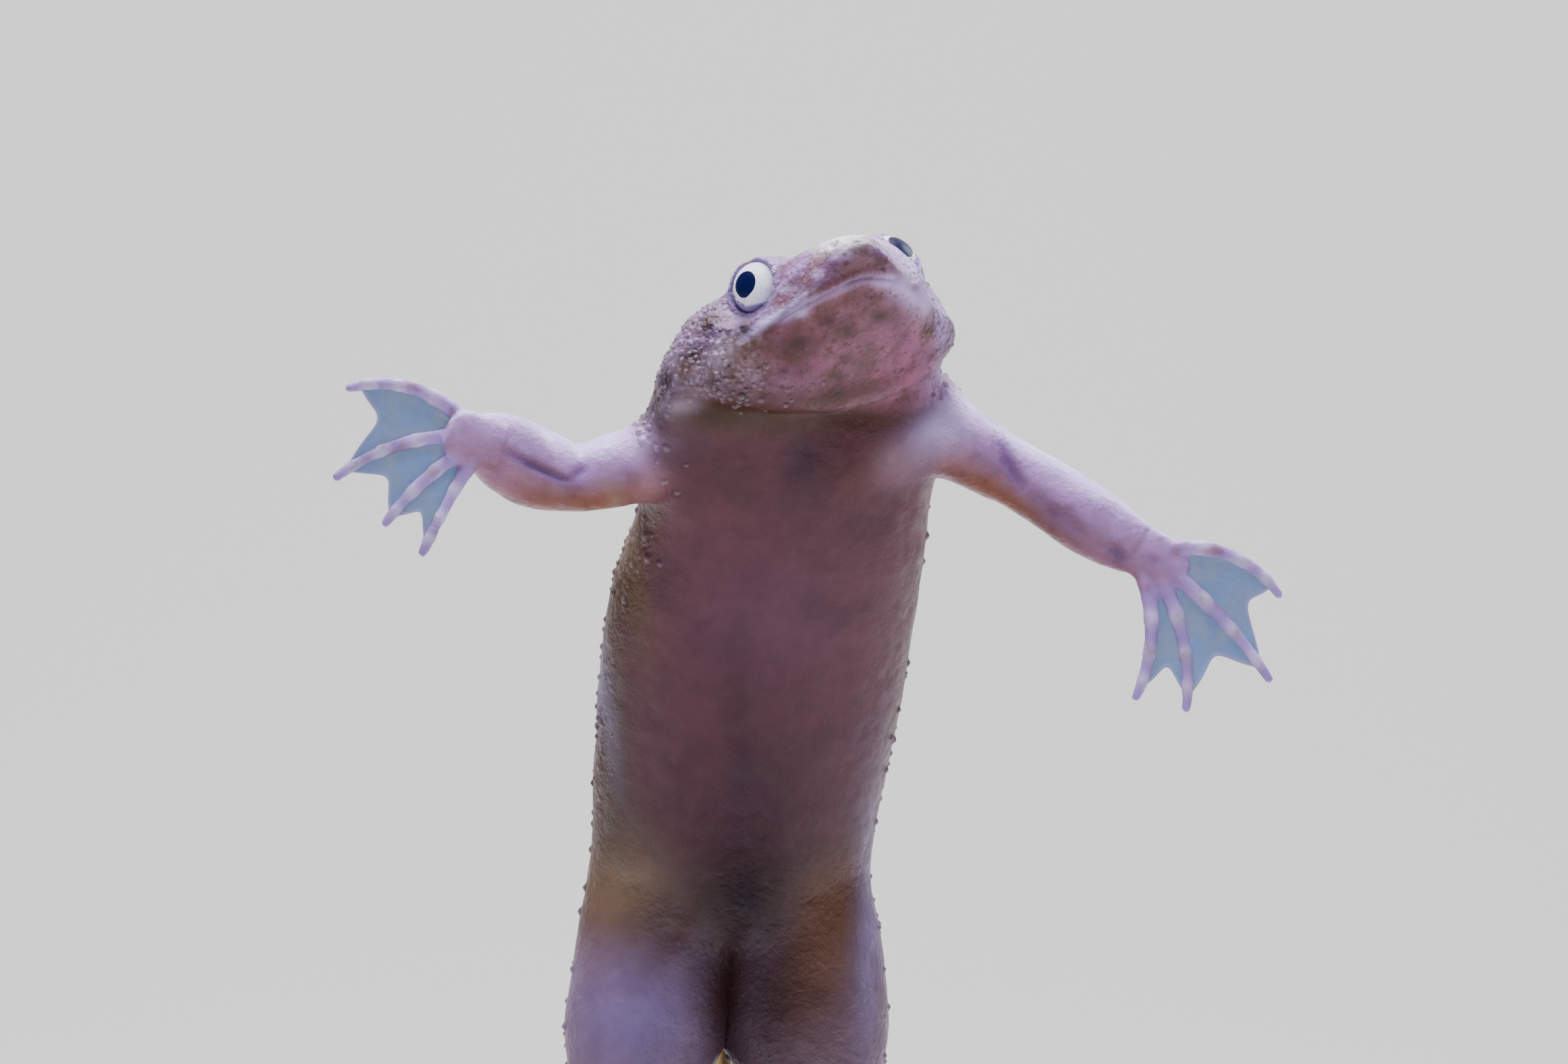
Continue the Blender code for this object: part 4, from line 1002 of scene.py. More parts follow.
def paint_marks(s, colour):
    """Violet rims round the eyes, a painted highlight on the snout's tip, and the dark spots of head and
    back.
    """
    for sign in (1, -1):
        away = np.linalg.norm(s.points - eye_place(sign)[0], axis=1)
        colour = painted(colour, EYE_RIM, bell(away - 1.25, 0.35) * 0.6 * s.on_head)
    # Painted highlight on the top of the snout's tip.
    light = bell(s.behind - 0.5, 0.8) * bell(s.out - 0.35, 0.9) * bell(s.above - 1.75, 0.55)
    colour = painted(colour, HIGHLIGHT, light * s.on_head)
    for behind, out, above, radius in SPOTS:
        offset = np.stack([s.behind - behind, s.out - out, (s.above - above) * 0.7], axis=1)
        away = np.linalg.norm(offset, axis=1)
        spot = np.exp(-((away / radius * (1 + 0.4 * s.mottle)) ** 2))
        colour = painted(colour, SPOT, spot * 0.72 * s.on_head)
    for share, angle, radius in BACK_SPOTS:
        away = np.hypot((s.length - share) * (SPINE_LENGTH - NECK), np.radians(s.turn - 90 - angle) * 5.2)
        spot = 1 - step(0.6, 1.3, away / radius + 0.35 * s.mottle)
        colour = painted(colour, SPOT, spot * 0.75 * s.dorsal)
    return colour


def arm_tone(s, share):
    """Lavender above with painted light, and warm brown below that is partly painted shade."""
    rise = s.normal[:, 2]
    return layered(
        np.tile(ARM, (len(s.points), 1)),
        # Painted light on the faces turned upwards, over the pale lavender skin.
        (PALE, step(0.15, 0.80, rise) * 0.90),
        # Painted shade on the faces turning downwards.
        (ARM_SHADE, step(0.20, -0.35, rise) * 0.60),
        # Warm brown underside, partly painted shade.
        (WARM_BROWN_AND_SHADE, step(0.0, -0.7, rise) * (0.90 - 0.45 * step(0.55, 0.95, share))),
        (SHOULDER, 0.45 * (1 - step(0.1, 0.45, share))),
        # Pale mottling kept to the upper faces, partly painted light.
        (PALE, 0.45 * step(0.1, 0.6, s.mottle) * step(-0.2, 0.6, rise)),
    )


def leg_tone(s, side):
    """Brown at the hip and behind, lavender-grey lower down, and painted shade between the thighs."""
    return layered(
        np.tile(HIP, (len(s.points), 1)),
        (THIGH, step(44.5, 41.0, s.points[:, 2]) * 0.9),
        (BACK, step(-0.1, 0.7, s.normal[:, 1]) * 0.8),
        # Painted shade on the faces turned towards the other thigh.
        (BELLY_DARK, step(0.45, 0.95, s.normal[:, 0] * side) * 0.85),
    )


def paint_limbs(s, colour):
    """The limbs' tones, with their painted light and shade, and brown stains. Also says how far each point
    belongs to a limb.
    """
    limb = np.zeros(len(s.points))
    rearwards = step(0.0, 0.6, s.normal[:, 1])
    stains = step(0.15, 0.75, fractal(s.points, 0.8, 3, 23.0))
    blotches = step(0.25, 0.6, fractal(s.points, 1.5, 2, 31.0))
    for name, stations in LIMBS.items():
        share, gap = nearest_on_limb(s.points, stations)
        side = -1 if name.endswith("left") else 1
        if name.startswith("arm"):
            here = step(0.25, 1.3, s.body_gap) * (gap < 2.5) * step(0.10, 0.22, share)
            tone, rear_strength = arm_tone(s, share), 0.65
        else:
            here = step(0.25, 1.3, s.body_gap + 0.9) * (gap < 2.5) * step(0.0, 0.12, share)
            here = np.maximum(here, step(23.0, 21.5, s.points[:, 2]) * (s.points[:, 0] * side < 1.2))
            tone, rear_strength = leg_tone(s, side), 0.3
        tone = layered(
            tone,
            (BROWN, 0.28 * stains),
            (LIMB_REAR, rearwards * rear_strength),
            (LIMB_BLOTCH, rearwards * 0.7 * blotches),
        )
        colour = painted(colour, tone, here)
        limb = np.maximum(limb, here)
    return colour, limb


def paint_digits(s, colour):
    """Lavender digits, paler at the joints, with painted light on top and brown flecks. Also gives each
    point's distance from them.
    """
    nearest = np.full(len(s.points), 9.0)
    for _, paths in [*HANDS.values(), *FEET.values()]:
        for path in paths:
            along = lengths_along(path)
            dense = rounded_through(along, path, np.linspace(0, along[-1], 60))
            far, where = nearest_on_line(s.points, dense, 1.2)
            reach = where / (len(dense) - 1)
            tone = np.tile(DIGIT, (len(s.points), 1))
            for share in FINGER_JOINTS:
                tone = painted(tone, PALE_KNUCKLE_AND_LIGHT, 0.75 * bell(reach - share, 0.06))
            tone = layered(
                tone,
                # Painted light: pale patches on the digits' upper faces.
                (PALE_KNUCKLE_AND_LIGHT, 0.5 * step(0.1, 0.5, s.mottle) * step(0.2, 0.8, s.normal[:, 2])),
                (DIGIT_FLECK, 0.55 * step(0.05, 0.45, -s.mottle) * (1 - step(0.5, 0.8, reach))),
            )
            here = np.where(where >= 0, bell(far, 0.5), 0.0) * step(0.05, 0.24, reach)
            colour = painted(colour, tone, here)
            nearest = np.minimum(nearest, np.where(where >= 0, far, 9.0))
    return colour, nearest


def granule_places(s, limb, off_lips, off_digits):
    """Where granules stand on the head and on the body: on the back, flanks, right cheek and temple."""
    sides = np.where(s.out < 0, 1 - 0.8 * s.on_head, 1.0) * (1 - s.on_head * (1 - step(4.6, 6.2, s.behind)))
    warts = np.clip(s.dorsal * 0.9 + s.flank * 0.55 + s.cheek * 0.8 + s.temple, 0, 1) * (1 - limb) * sides
    away = [np.linalg.norm(s.points - eye_place(sign)[0], axis=1) for sign in (1, -1)]
    warts = warts * step(1.75, 2.3, np.minimum(*away)) * off_lips * off_digits
    warts = warts * (1 - step(SPINE_LENGTH - 9.0, SPINE_LENGTH - 2.0, s.place + 2.5 * s.mottle)) ** 2
    height = s.points[:, 2]
    legs = limb * (height > 20) * (height < 47) * (s.normal[:, 1] > -0.2) * 0.45 * off_digits
    front = 1 - step(9.0, 10.5, s.place)
    return warts * front, np.clip(warts * (1 - front) + legs, 0, 1)


def paint_skin(skin):
    """Each point's colour, and how granular and speckled it is, from where it lies on the animal."""
    mesh = skin.data
    s = Places(mesh)
    colour, lower_lip, upper_lip = paint_lips(s, paint_head(s, paint_trunk(s)))
    colour, limb = paint_limbs(s, paint_marks(s, colour))
    colour, digit_gap = paint_digits(s, colour)
    forwards = -s.normal[:, 1]
    colour = add_patches(colour, s.points, step(-0.35, 0.15, forwards), PATCHES.values())
    colour = add_patches(colour, s.points, step(-0.30, 0.05, forwards) * s.to_neck, head_patches())
    # Painted violet shade in the arms' creases.
    colour = painted(colour, VIOLET_CREASE_SHADE, creases(s.points, s.normal, 1.5)[1])
    colour = colour * (1 + 0.10 * s.broad + 0.07 * s.mottle)[:, None]
    grey = colour.mean(axis=1)[:, None]
    write_values(mesh, "tone", np.clip(grey + (colour - grey) * SATURATION, 0.004, 0.95))

    lower = np.clip(lower_lip, 0, 1)
    grain = np.clip(s.dorsal + 0.7 * s.flank + 0.8 * s.cheek + 0.25 * s.chin, 0, 1) * (1 - limb) + 0.30 * limb
    write_values(mesh, "grain", np.where(digit_gap < 0.6, 0.12, grain) * (1 - lower))
    speckle = s.chin + s.cheek * 0.6 + s.upper * 0.3 + s.flank * 0.4 * (1 - s.on_head)
    write_values(mesh, "speckle", np.clip(speckle, 0, 1) * (1 - limb) * (1 - lower * 0.8))
    off_lips = 1 - np.clip(upper_lip + lower_lip, 0, 1)
    on_head, on_body = granule_places(s, limb, off_lips, digit_gap > 1.0)
    write_values(mesh, "warts_head", on_head)
    write_values(mesh, "warts_body", on_body)


class Wire:
    """A shader socket that Python's operators turn into maths nodes."""

    def __init__(self, graph, socket):
        self.graph, self.socket = graph, socket

    def _maths(self, operation, *others, flip=False):
        values = [self, *others]
        if flip:
            values.reverse()
        return self.graph.maths(operation, *values)

    def __add__(self, other):
        return self._maths("ADD", other)

    __radd__ = __add__

    def __sub__(self, other):
        return self._maths("SUBTRACT", other)

    def __rsub__(self, other):
        return self._maths("SUBTRACT", other, flip=True)

    def __mul__(self, other):
        return self._maths("MULTIPLY", other)

    __rmul__ = __mul__

    def __truediv__(self, other):
        return self._maths("DIVIDE", other)

    def __pow__(self, other):
        return self._maths("POWER", other)


class Graph:
    """The nodes of one material, round a Principled shader."""

    def __init__(self, name):
        self.material = bpy.data.materials.new(name)
        self.material.use_nodes = True
        self.tree = self.material.node_tree
        self.shader = self.tree.nodes["Principled BSDF"]
        self.place = self.make("ShaderNodeTexCoord", "Object")

    def plug(self, socket, value):
        if isinstance(value, Wire):
            self.tree.links.new(value.socket, socket)
        elif hasattr(value, "__len__") and len(value) == 3 and socket.type == "RGBA":
            socket.default_value = (*value, 1.0)
        else:
            socket.default_value = value

    def make(self, kind, output, settings=None, **inputs):
        """A node of this kind with its settings and inputs, and one of its outputs as a wire."""
        node = self.tree.nodes.new(kind)
        for key, value in (settings or {}).items():
            setattr(node, key, value)
        for key, value in inputs.items():
            self.plug(node.inputs[key.replace("_", " ")], value)
        return Wire(self, node.outputs[output])

    def maths(self, operation, *values):
        node = self.tree.nodes.new("ShaderNodeMath")
        node.operation = operation
        for socket, value in zip(node.inputs, values):
            self.plug(socket, value)
        return Wire(self, node.outputs[0])

    def value(self, name):
        return self.make("ShaderNodeAttribute", "Fac", {"attribute_name": name})

    def tone(self, name):
        return self.make("ShaderNodeAttribute", "Color", {"attribute_name": name})

    def mix(self, factor, first, second, blend="MIX"):
        node = self.tree.nodes.new("ShaderNodeMix")
        node.data_type, node.blend_type, node.clamp_factor = "RGBA", blend, True
        self.plug(node.inputs[0], factor)
        self.plug(node.inputs[6], first)
        self.plug(node.inputs[7], second)
        return Wire(self, node.outputs[2])

    def range(self, value, low, high, to_low=0.0, to_high=1.0):
        return self.make(
            "ShaderNodeMapRange", 0, {"interpolation_type": "SMOOTHSTEP"},
            Value=value, From_Min=low, From_Max=high, To_Min=to_low, To_Max=to_high,
        )

    def noise(self, size, detail=3.0, rough=0.55, warp=0.0):
        """Noise whose features are about this many millimetres across."""
        return self.make(
            "ShaderNodeTexNoise", "Fac", Vector=self.place, Scale=1000.0 / size,
            Detail=detail, Roughness=rough, Distortion=warp,
        )

    def cells(self, size, feature="F1", output="Distance", spread=1.0):
        return self.make(
            "ShaderNodeTexVoronoi", output, {"feature": feature}, Vector=self.place, Scale=1000.0 / size,
            Randomness=spread,
        )

    def bump(self, height, strength, distance):
        """Raises the surface by the height, in millimetres at a height of 1."""
        return self.make("ShaderNodeBump", "Normal", Height=height, Strength=strength, Distance=distance * MM)

    def set(self, **inputs):
        for key, value in inputs.items():
            self.plug(self.shader.inputs[key.replace("_", " ")], value)
        return self.material


def skin_material(name, paler):
    """Wet frog skin: painted tone, brown speckles, pale granules and fine wrinkles."""
    g = Graph(name)
    tone, grain, speckle = g.tone("tone"), g.value("grain"), g.value("speckle")
    cells = g.cells(0.36)
    bead = g.range(cells, 0.62, 0.12)
    fine = g.cells(0.17)
    fine_bead = g.range(fine, 0.6, 0.1)
    cloud = g.noise(0.9, 4.0, 0.6)
    patch = g.noise(2.4, 3.0, 0.5)
    lighter = g.mix(1.0, tone, (1.28, 1.22, 1.20), "MULTIPLY")
    colour = g.mix(g.range(cloud, 0.35, 0.7, 0.0, 0.5), tone, lighter)
    darker = g.mix(1.0, colour, (0.62, 0.55, 0.56), "MULTIPLY")
    colour = g.mix(g.range(patch, 0.45, 0.7, 0.0, 0.35), colour, darker)
    pale = g.mix(0.45, colour, (0.60, 0.52, 0.62))
    colour = g.mix(bead * g.range(grain, 0.35, 0.9) * 0.34, colour, pale)
    murk = g.range(g.noise(0.75, 5.0, 0.65), 0.44, 0.62) * speckle
    colour = g.mix(murk * 0.55, colour, (0.085, 0.034, 0.024))
    dots = g.range(g.cells(0.52), 0.34, 0.14) * g.range(g.noise(0.9, 3.0), 0.44, 0.58)
    tiny = g.range(g.cells(0.26), 0.36, 0.14) * g.range(g.noise(0.7, 3.0), 0.42, 0.56)
    colour = g.mix(dots * speckle * 0.70, colour, BROWN)
    colour = g.mix(tiny * speckle * 0.60, colour, (0.050, 0.020, 0.016))
    colour = g.mix(g.value("crest") * paler, colour, (0.560, 0.480, 0.640))
    height = bead * grain * 0.060 + fine_bead * (grain * 0.020 + 0.006) + g.noise(0.30, 4.0, 0.6) * 0.024
    rough = g.range(g.noise(0.5, 3.0), 0.3, 0.7, 0.30, 0.50)
    return g.set(
        Base_Color=colour, Roughness=rough, Normal=g.bump(height, 1.0, 1.0), Specular_IOR_Level=0.22,
        Subsurface_Weight=0.15, Subsurface_Scale=0.5 * MM, Subsurface_Radius=(1.0, 0.45, 0.35),
        Coat_Weight=0.06, Coat_Roughness=0.20,
    )


def web_material():
    """Thin blue membrane with fine branching folds."""
    g = Graph("web")
    edge = g.value("edge")
    folds = g.noise(1.1, 4.0, 0.55, 0.6)
    colour = g.mix(g.range(folds, 0.35, 0.68), (0.055, 0.165, 0.400), (0.130, 0.270, 0.600))
    colour = g.mix(edge, colour, (0.440, 0.420, 0.700))
    alpha = g.range(folds, 0.3, 0.75, 0.60, 0.76) + edge * 0.24
    return g.set(
        Base_Color=colour, Alpha=alpha, Roughness=0.30, Normal=g.bump(folds, 0.5, 0.05),
        Specular_IOR_Level=0.3,
    )


def eye_material():
    """Silver iris with dark flecks round a navy pupil, covered at its edge by violet-grey lids, with a
    painted glow.
    """
    g = Graph("eyeball")
    ring, dark_side, lid = g.value("ring"), g.value("dark_side"), g.value("lid")
    threads = g.noise(0.10, 4.0, 0.7, 0.8)
    silver = g.mix(g.range(threads, 0.35, 0.65), (0.95, 0.96, 1.0), (0.66, 0.69, 0.88))
    flecks = g.range(g.cells(0.11), 0.46, 0.24) * g.range(g.noise(0.30, 3.0), 0.40, 0.55)
    silver = g.mix(flecks * dark_side, silver, (0.05, 0.05, 0.14))
    shade = g.range(dark_side, 0.55, 0.95) * g.range(ring, 0.66, 0.80)
    shade = shade * g.range(g.noise(0.14, 3.0), 0.36, 0.56)
    silver = g.mix(shade, silver, (0.06, 0.06, 0.18))
    gold = g.range(ring, 0.62, 0.55) * g.range(dark_side, 0.2, 0.8)
    silver = g.mix(gold * 0.6, silver, (0.85, 0.70, 0.48))
    outer = g.range(ring + g.noise(0.3) * 0.10 + lid, 1.05, 1.16)
    silver = g.mix(outer, silver, g.mix(g.noise(0.4), (0.30, 0.22, 0.46), (0.50, 0.44, 0.74)))
    pupil = g.range(ring, 0.545, 0.515)
    colour = g.mix(pupil, silver, (0.001, 0.002, 0.022))
    # Painted light: the iris and pupil glow faintly to brighten them.
    glow = g.mix(pupil, g.mix(outer, silver, (0.0, 0.0, 0.0)), (0.0, 0.006, 0.110))
    return g.set(
        Base_Color=colour, Roughness=0.35, Normal=g.bump(threads, 0.4, 0.02), Specular_IOR_Level=0.15,
        Emission_Color=glow, Emission_Strength=0.38,
    )


def cornea_material():
    """Clear and wet, with a blue-grey cast towards its rim."""
    g = Graph("cornea")
    ring = g.value("ring")
    haze = g.noise(0.5, 3.0)
    return g.set(
        Base_Color=g.mix(haze, (0.05, 0.07, 0.26), (0.16, 0.20, 0.50)), Roughness=0.02,
        Alpha=g.range(ring, 0.98, 1.15, 0.01, 0.30), Specular_IOR_Level=0.06, IOR=1.15, Coat_Weight=0.0,
    )


def claw_material():
    """Black horn with faint brown streaks."""
    g = Graph("claw")
    streak = g.noise(0.15, 3.0)
    return g.set(
        Base_Color=g.mix(streak, (0.012, 0.010, 0.010), (0.055, 0.040, 0.034)), Roughness=0.32,
        Normal=g.bump(streak, 0.4, 0.02), Coat_Weight=0.3,
    )


def base_material():
    """Dark stained wood under satin lacquer."""
    g = Graph("dark stained wood")
    stretched = g.make("ShaderNodeMapping", "Vector", Vector=g.place, Scale=(45.0, 700.0, 700.0))
    grain = g.make(
        "ShaderNodeTexNoise", "Fac", Vector=stretched, Scale=1.0, Detail=5.0, Roughness=0.6, Distortion=0.4,
    )
    bands = g.make("ShaderNodeTexNoise", "Fac", Vector=stretched, Scale=0.22, Detail=3.0, Roughness=0.5)
    pores = g.range(grain, 0.52, 0.68)
    colour = g.mix(g.range(bands, 0.35, 0.65), (0.014, 0.009, 0.007), (0.034, 0.020, 0.013))
    colour = g.mix(pores * 0.8, colour, (0.009, 0.006, 0.005))
    return g.set(
        Base_Color=colour, Roughness=g.range(g.noise(6.0, 4.0), 0.3, 0.7, 0.38, 0.50),
        Normal=g.bump(pores, 0.4, 0.03),
        Specular_IOR_Level=0.35, Coat_Weight=0.12, Coat_Roughness=0.25,
    )


def rod_material():
    """Brass drawn lengthwise, with a little tarnish."""
    g = Graph("drawn brass")
    lengthwise = g.make("ShaderNodeMapping", "Vector", Vector=g.place, Scale=(9000.0, 9000.0, 120.0))
    drawn = g.make("ShaderNodeTexNoise", "Fac", Vector=lengthwise, Scale=1.0, Detail=2.0)
    tarnish = g.noise(3.0, 4.0)
    colour = g.mix(g.range(tarnish, 0.4, 0.7), (0.60, 0.43, 0.19), (0.42, 0.29, 0.14))
    return g.set(
        Base_Color=colour, Metallic=1.0, Roughness=g.range(tarnish, 0.3, 0.7, 0.22, 0.38),
        Normal=g.bump(drawn, 0.25, 0.01),
    )


def dress(obj, material):
    obj.data.materials.clear()
    obj.data.materials.append(material)
    return obj


def show(obj, slot, *nodes):
    """Hands a finished piece to the frame, in place of these solids."""
    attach(obj, "root")
    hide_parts(*nodes)


def make_webs():
    """Thin membranes between the digits, with a concave free edge that is a little thicker and paler."""
    webs = Surface()
    for parts, (reach, dip) in ((HANDS, HAND_WEB), (FEET, FOOT_WEB)):
        for _, paths in parts.values():
            for first, second in zip(paths, paths[1:]):
                add_web(webs, first, second, reach, dip)
    obj = dress(webs.build("webs"), web_material())
    show(obj, "webbed_skin", "hand_left", "hand_right", "foot_left", "foot_right")


def add_web(webs, first, second, reach, dip):
    """One membrane between two digits, reaching out to this share of them and dipping between."""
    rows, columns = 34, 22
    t, across = np.linspace(0, 1, rows), np.linspace(0, 1, columns)
    lengths = [lengths_along(path) for path in (first, second)]
    grid = np.zeros((rows, columns, 3))
    for j, u in enumerate(across):
        out = reach - dip * math.sin(math.pi * u) - 0.06 * math.sin(math.pi * u) ** 4
        shares = 0.10 + t * (out - 0.10)
        start, end = [
            rounded_through(along, path, shares * along[-1]) for along, path in zip(lengths, (first, second))
        ]
        grid[:, j] = start * (1 - u) + end * u
    normal = unit(np.cross(np.gradient(grid, axis=0), np.gradient(grid, axis=1)))
    sag = 0.10 * np.sin(math.pi * across)[None] * np.sin(math.pi * t * 0.8)[:, None]
    ripple = 0.035 * np.sin(9 * across[None] + 3.0 * t[:, None]) * np.sin(math.pi * across)[None]
    grid = grid + normal * (sag + ripple)[..., None]
    edge = np.broadcast_to(np.exp(-(((1 - t) / 0.035) ** 2))[:, None], (rows, columns))
    half = WEB_THICKNESS / 2 * (0.75 + 0.75 * edge)
    top, bottom = grid + normal * half[..., None], grid - normal * half[..., None]
    count = rows * columns
    faces = []
    for i in range(rows - 1):
        for j in range(columns - 1):
            a = i * columns + j
            b, c, d = a + 1, a + columns + 1, a + columns
            faces += [(a, b, c, d), (a + count, d + count, c + count, b + count)]
    ring = list(range(columns))
    ring += [i * columns + columns - 1 for i in range(1, rows)]
    ring += [(rows - 1) * columns + j for j in range(columns - 2, -1, -1)]
    ring += [i * columns for i in range(rows - 2, 0, -1)]
    for i, a in enumerate(ring):
        b = ring[(i + 1) % len(ring)]
        faces.append((a, a + count, b + count, b))
    both = np.concatenate([top.reshape(-1, 3), bottom.reshape(-1, 3)])
    webs.add(both, faces, edge=np.tile(edge.ravel(), 2))


def turned(surface, profile, place, axis, sides):
    """Adds a body turned round an axis, from (distance along it, radius) pairs."""
    axis = unit(np.asarray(axis, float))
    across = unit(np.cross(axis, (0.0, 0.3, 1.0) if abs(axis[2]) < 0.9 else (0.0, 1.0, 0.0)))
    other = np.cross(axis, across)
    angle = np.arange(sides) / sides * 2 * math.pi
    circle = np.cos(angle)[:, None] * across + np.sin(angle)[:, None] * other
    rings = np.array([np.asarray(place) + along * axis + radius * circle for along, radius in profile])
    surface.loft(rings)


def make_eyes():
    """Each eye is a ball with a painted, flattened iris under a clear cornea that bulges from it."""
    t = np.radians(np.linspace(0.8, 179.2, 120))[::-1]
    front = np.cos(t) > 0
    parts = (
        ("eyeball", BALL_RADIUS, IRIS_REACH, eye_material()),
        ("cornea", EYE_RADIUS, CORNEA_REACH, cornea_material()),
    )
    for sign, name in ((1, "right"), (-1, "left")):
        centre, axis = eye_place(sign)
        down = unit(np.array([0.0, 0.0, -1.0]) - axis * -axis[2])
        back = np.cross(axis, down) * sign
        dark = unit(down * 0.55 - back * 0.85)
        lid = lid_heading(sign, axis)
        for part, radius, reach, material in parts:
            profile = np.stack([np.where(front, reach, radius) * np.cos(t), radius * np.sin(t)], axis=1)
            surface = Surface()
            turned(surface, profile, centre, axis, 96)
            obj = surface.build(f"{part}_{name}")
            away = read_points(obj.data) / MM - centre
            ahead = away @ axis
            across = away - ahead[:, None] * axis
            ring = np.linalg.norm(across, axis=1)
            lower = unit(across) @ dark
            # The pupil is drawn out a little towards its lowest point.
            point = bell(1 - unit(across) @ down, 0.12)
            ring = np.where(ahead < 0, 2 * radius - ring, ring) - 0.045 * point - PUPIL_GROWTH[sign]
            write_values(obj.data, "ring", ring)
            write_values(obj.data, "dark_side", step(0.0, 0.85, lower))
            write_values(obj.data, "lid", step(-0.1, 0.75, unit(across) @ lid) * LID_REACH[sign])
            show(dress(obj, material), "eye", "eye_" + name)


def make_claws():
    """Short curved black claws on the three inner toes of each foot."""
    horn = claw_material()
    for side, (_, paths) in FEET.items():
        for number, path in enumerate(paths[:3], start=1):
            ahead = unit(path[-1] - path[-2])
            start = path[-1] - ahead * 0.38
            t = np.linspace(0, 1, 18)
            curve = start + ahead * (t * 1.6)[:, None] + np.array([0.0, -1.0, 0.0]) * (0.16 * t**2)[:, None]
            radius = 0.22 * (1 - t) ** 0.6 * (1 - 0.2 * t) + 0.012
            across = unit(np.cross(np.gradient(curve, axis=0), (0.0, 1.0, 0.05)))
            deep = unit(np.cross(across, np.gradient(curve, axis=0)))
            surface = Surface()
            surface.loft(oval_rings(curve, np.stack([radius * 0.85, radius], axis=1), across, deep, 20))
            node = f"claw_{side}_{number}"
            show(dress(surface.build(f"{node}_horn"), horn), "claw", node)


def make_stand():
    """The lacquered base with its fine rounded edges and groove, and the rod with its collar."""
    radius, height, bevel, groove = 27.0, 4.0, 0.6, 0.12
    quarter = np.radians(np.linspace(0, 90, 9))
    inner = radius - bevel
    profile = [(0.0, 2.0), (0.0, inner)]
    profile += [(bevel - bevel * math.cos(a), inner + bevel * math.sin(a)) for a in quarter[1:]]
    profile += [(height - bevel + bevel * math.sin(a), inner + bevel * math.cos(a)) for a in quarter]
    profile += [(height, radius - 2.2), (height - groove, radius - 2.35)]
    profile += [(height - groove, radius - 2.6), (height, radius - 2.75), (height, 3.0)]
    make_turned("stand_base", "stand_base_wood", profile, (0.0, 0.0, 0.0), 160, base_material())

    foot, collar, shaft = height + 0.02, 2.6, 0.8
    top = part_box("stand_rod")[1][2] / MM - 0.05
    profile = [(foot, collar - 0.15), (foot + 0.12, collar), (foot + 0.5, collar)]
    profile += [(foot + 0.72, collar - 0.2), (foot + 0.8, collar - 0.5), (foot + 0.86, 1.3)]
    profile += [(foot + 1.0, 1.0), (foot + 1.4, shaft + 0.02)]
    profile += [(z, shaft) for z in np.linspace(foot + 1.8, top - 0.1, 30)] + [(top, 0.72)]
    make_turned("stand_rod", "stand_rod_brass", profile, (-1.05, 7.1, 0.0), 48, rod_material())


def make_turned(node, name, profile, place, sides, material):
    """An upright turned piece in place of the solid of that node."""
    surface = Surface()
    turned(surface, profile, place, (0.0, 0.0, 1.0), sides)
    obj = dress(surface.build(name), material)
    obj.data.set_sharp_from_angle(angle=math.radians(35))
    show(obj, node, node)


def granule_shape():
    """One low pimple, a unit wide, whose foot runs out level with the skin."""
    reach = np.array([1.0, 0.80, 0.58, 0.34, 0.08])
    turn = np.arange(8) / 8 * 2 * math.pi
    crest = 0.5 + 0.5 * np.cos(math.pi * reach)
    rings = np.zeros((len(reach), len(turn), 3))
    rings[..., 0], rings[..., 1] = reach[:, None] * np.cos(turn), reach[:, None] * np.sin(turn)
    rings[..., 2] = (0.50 * crest - 0.05)[:, None]
    pimple = Surface()
    pimple.loft(rings / MM, crest=np.append(np.repeat(crest, len(turn)), (0.0, 1.0)))
    return pimple.build("granule shape")


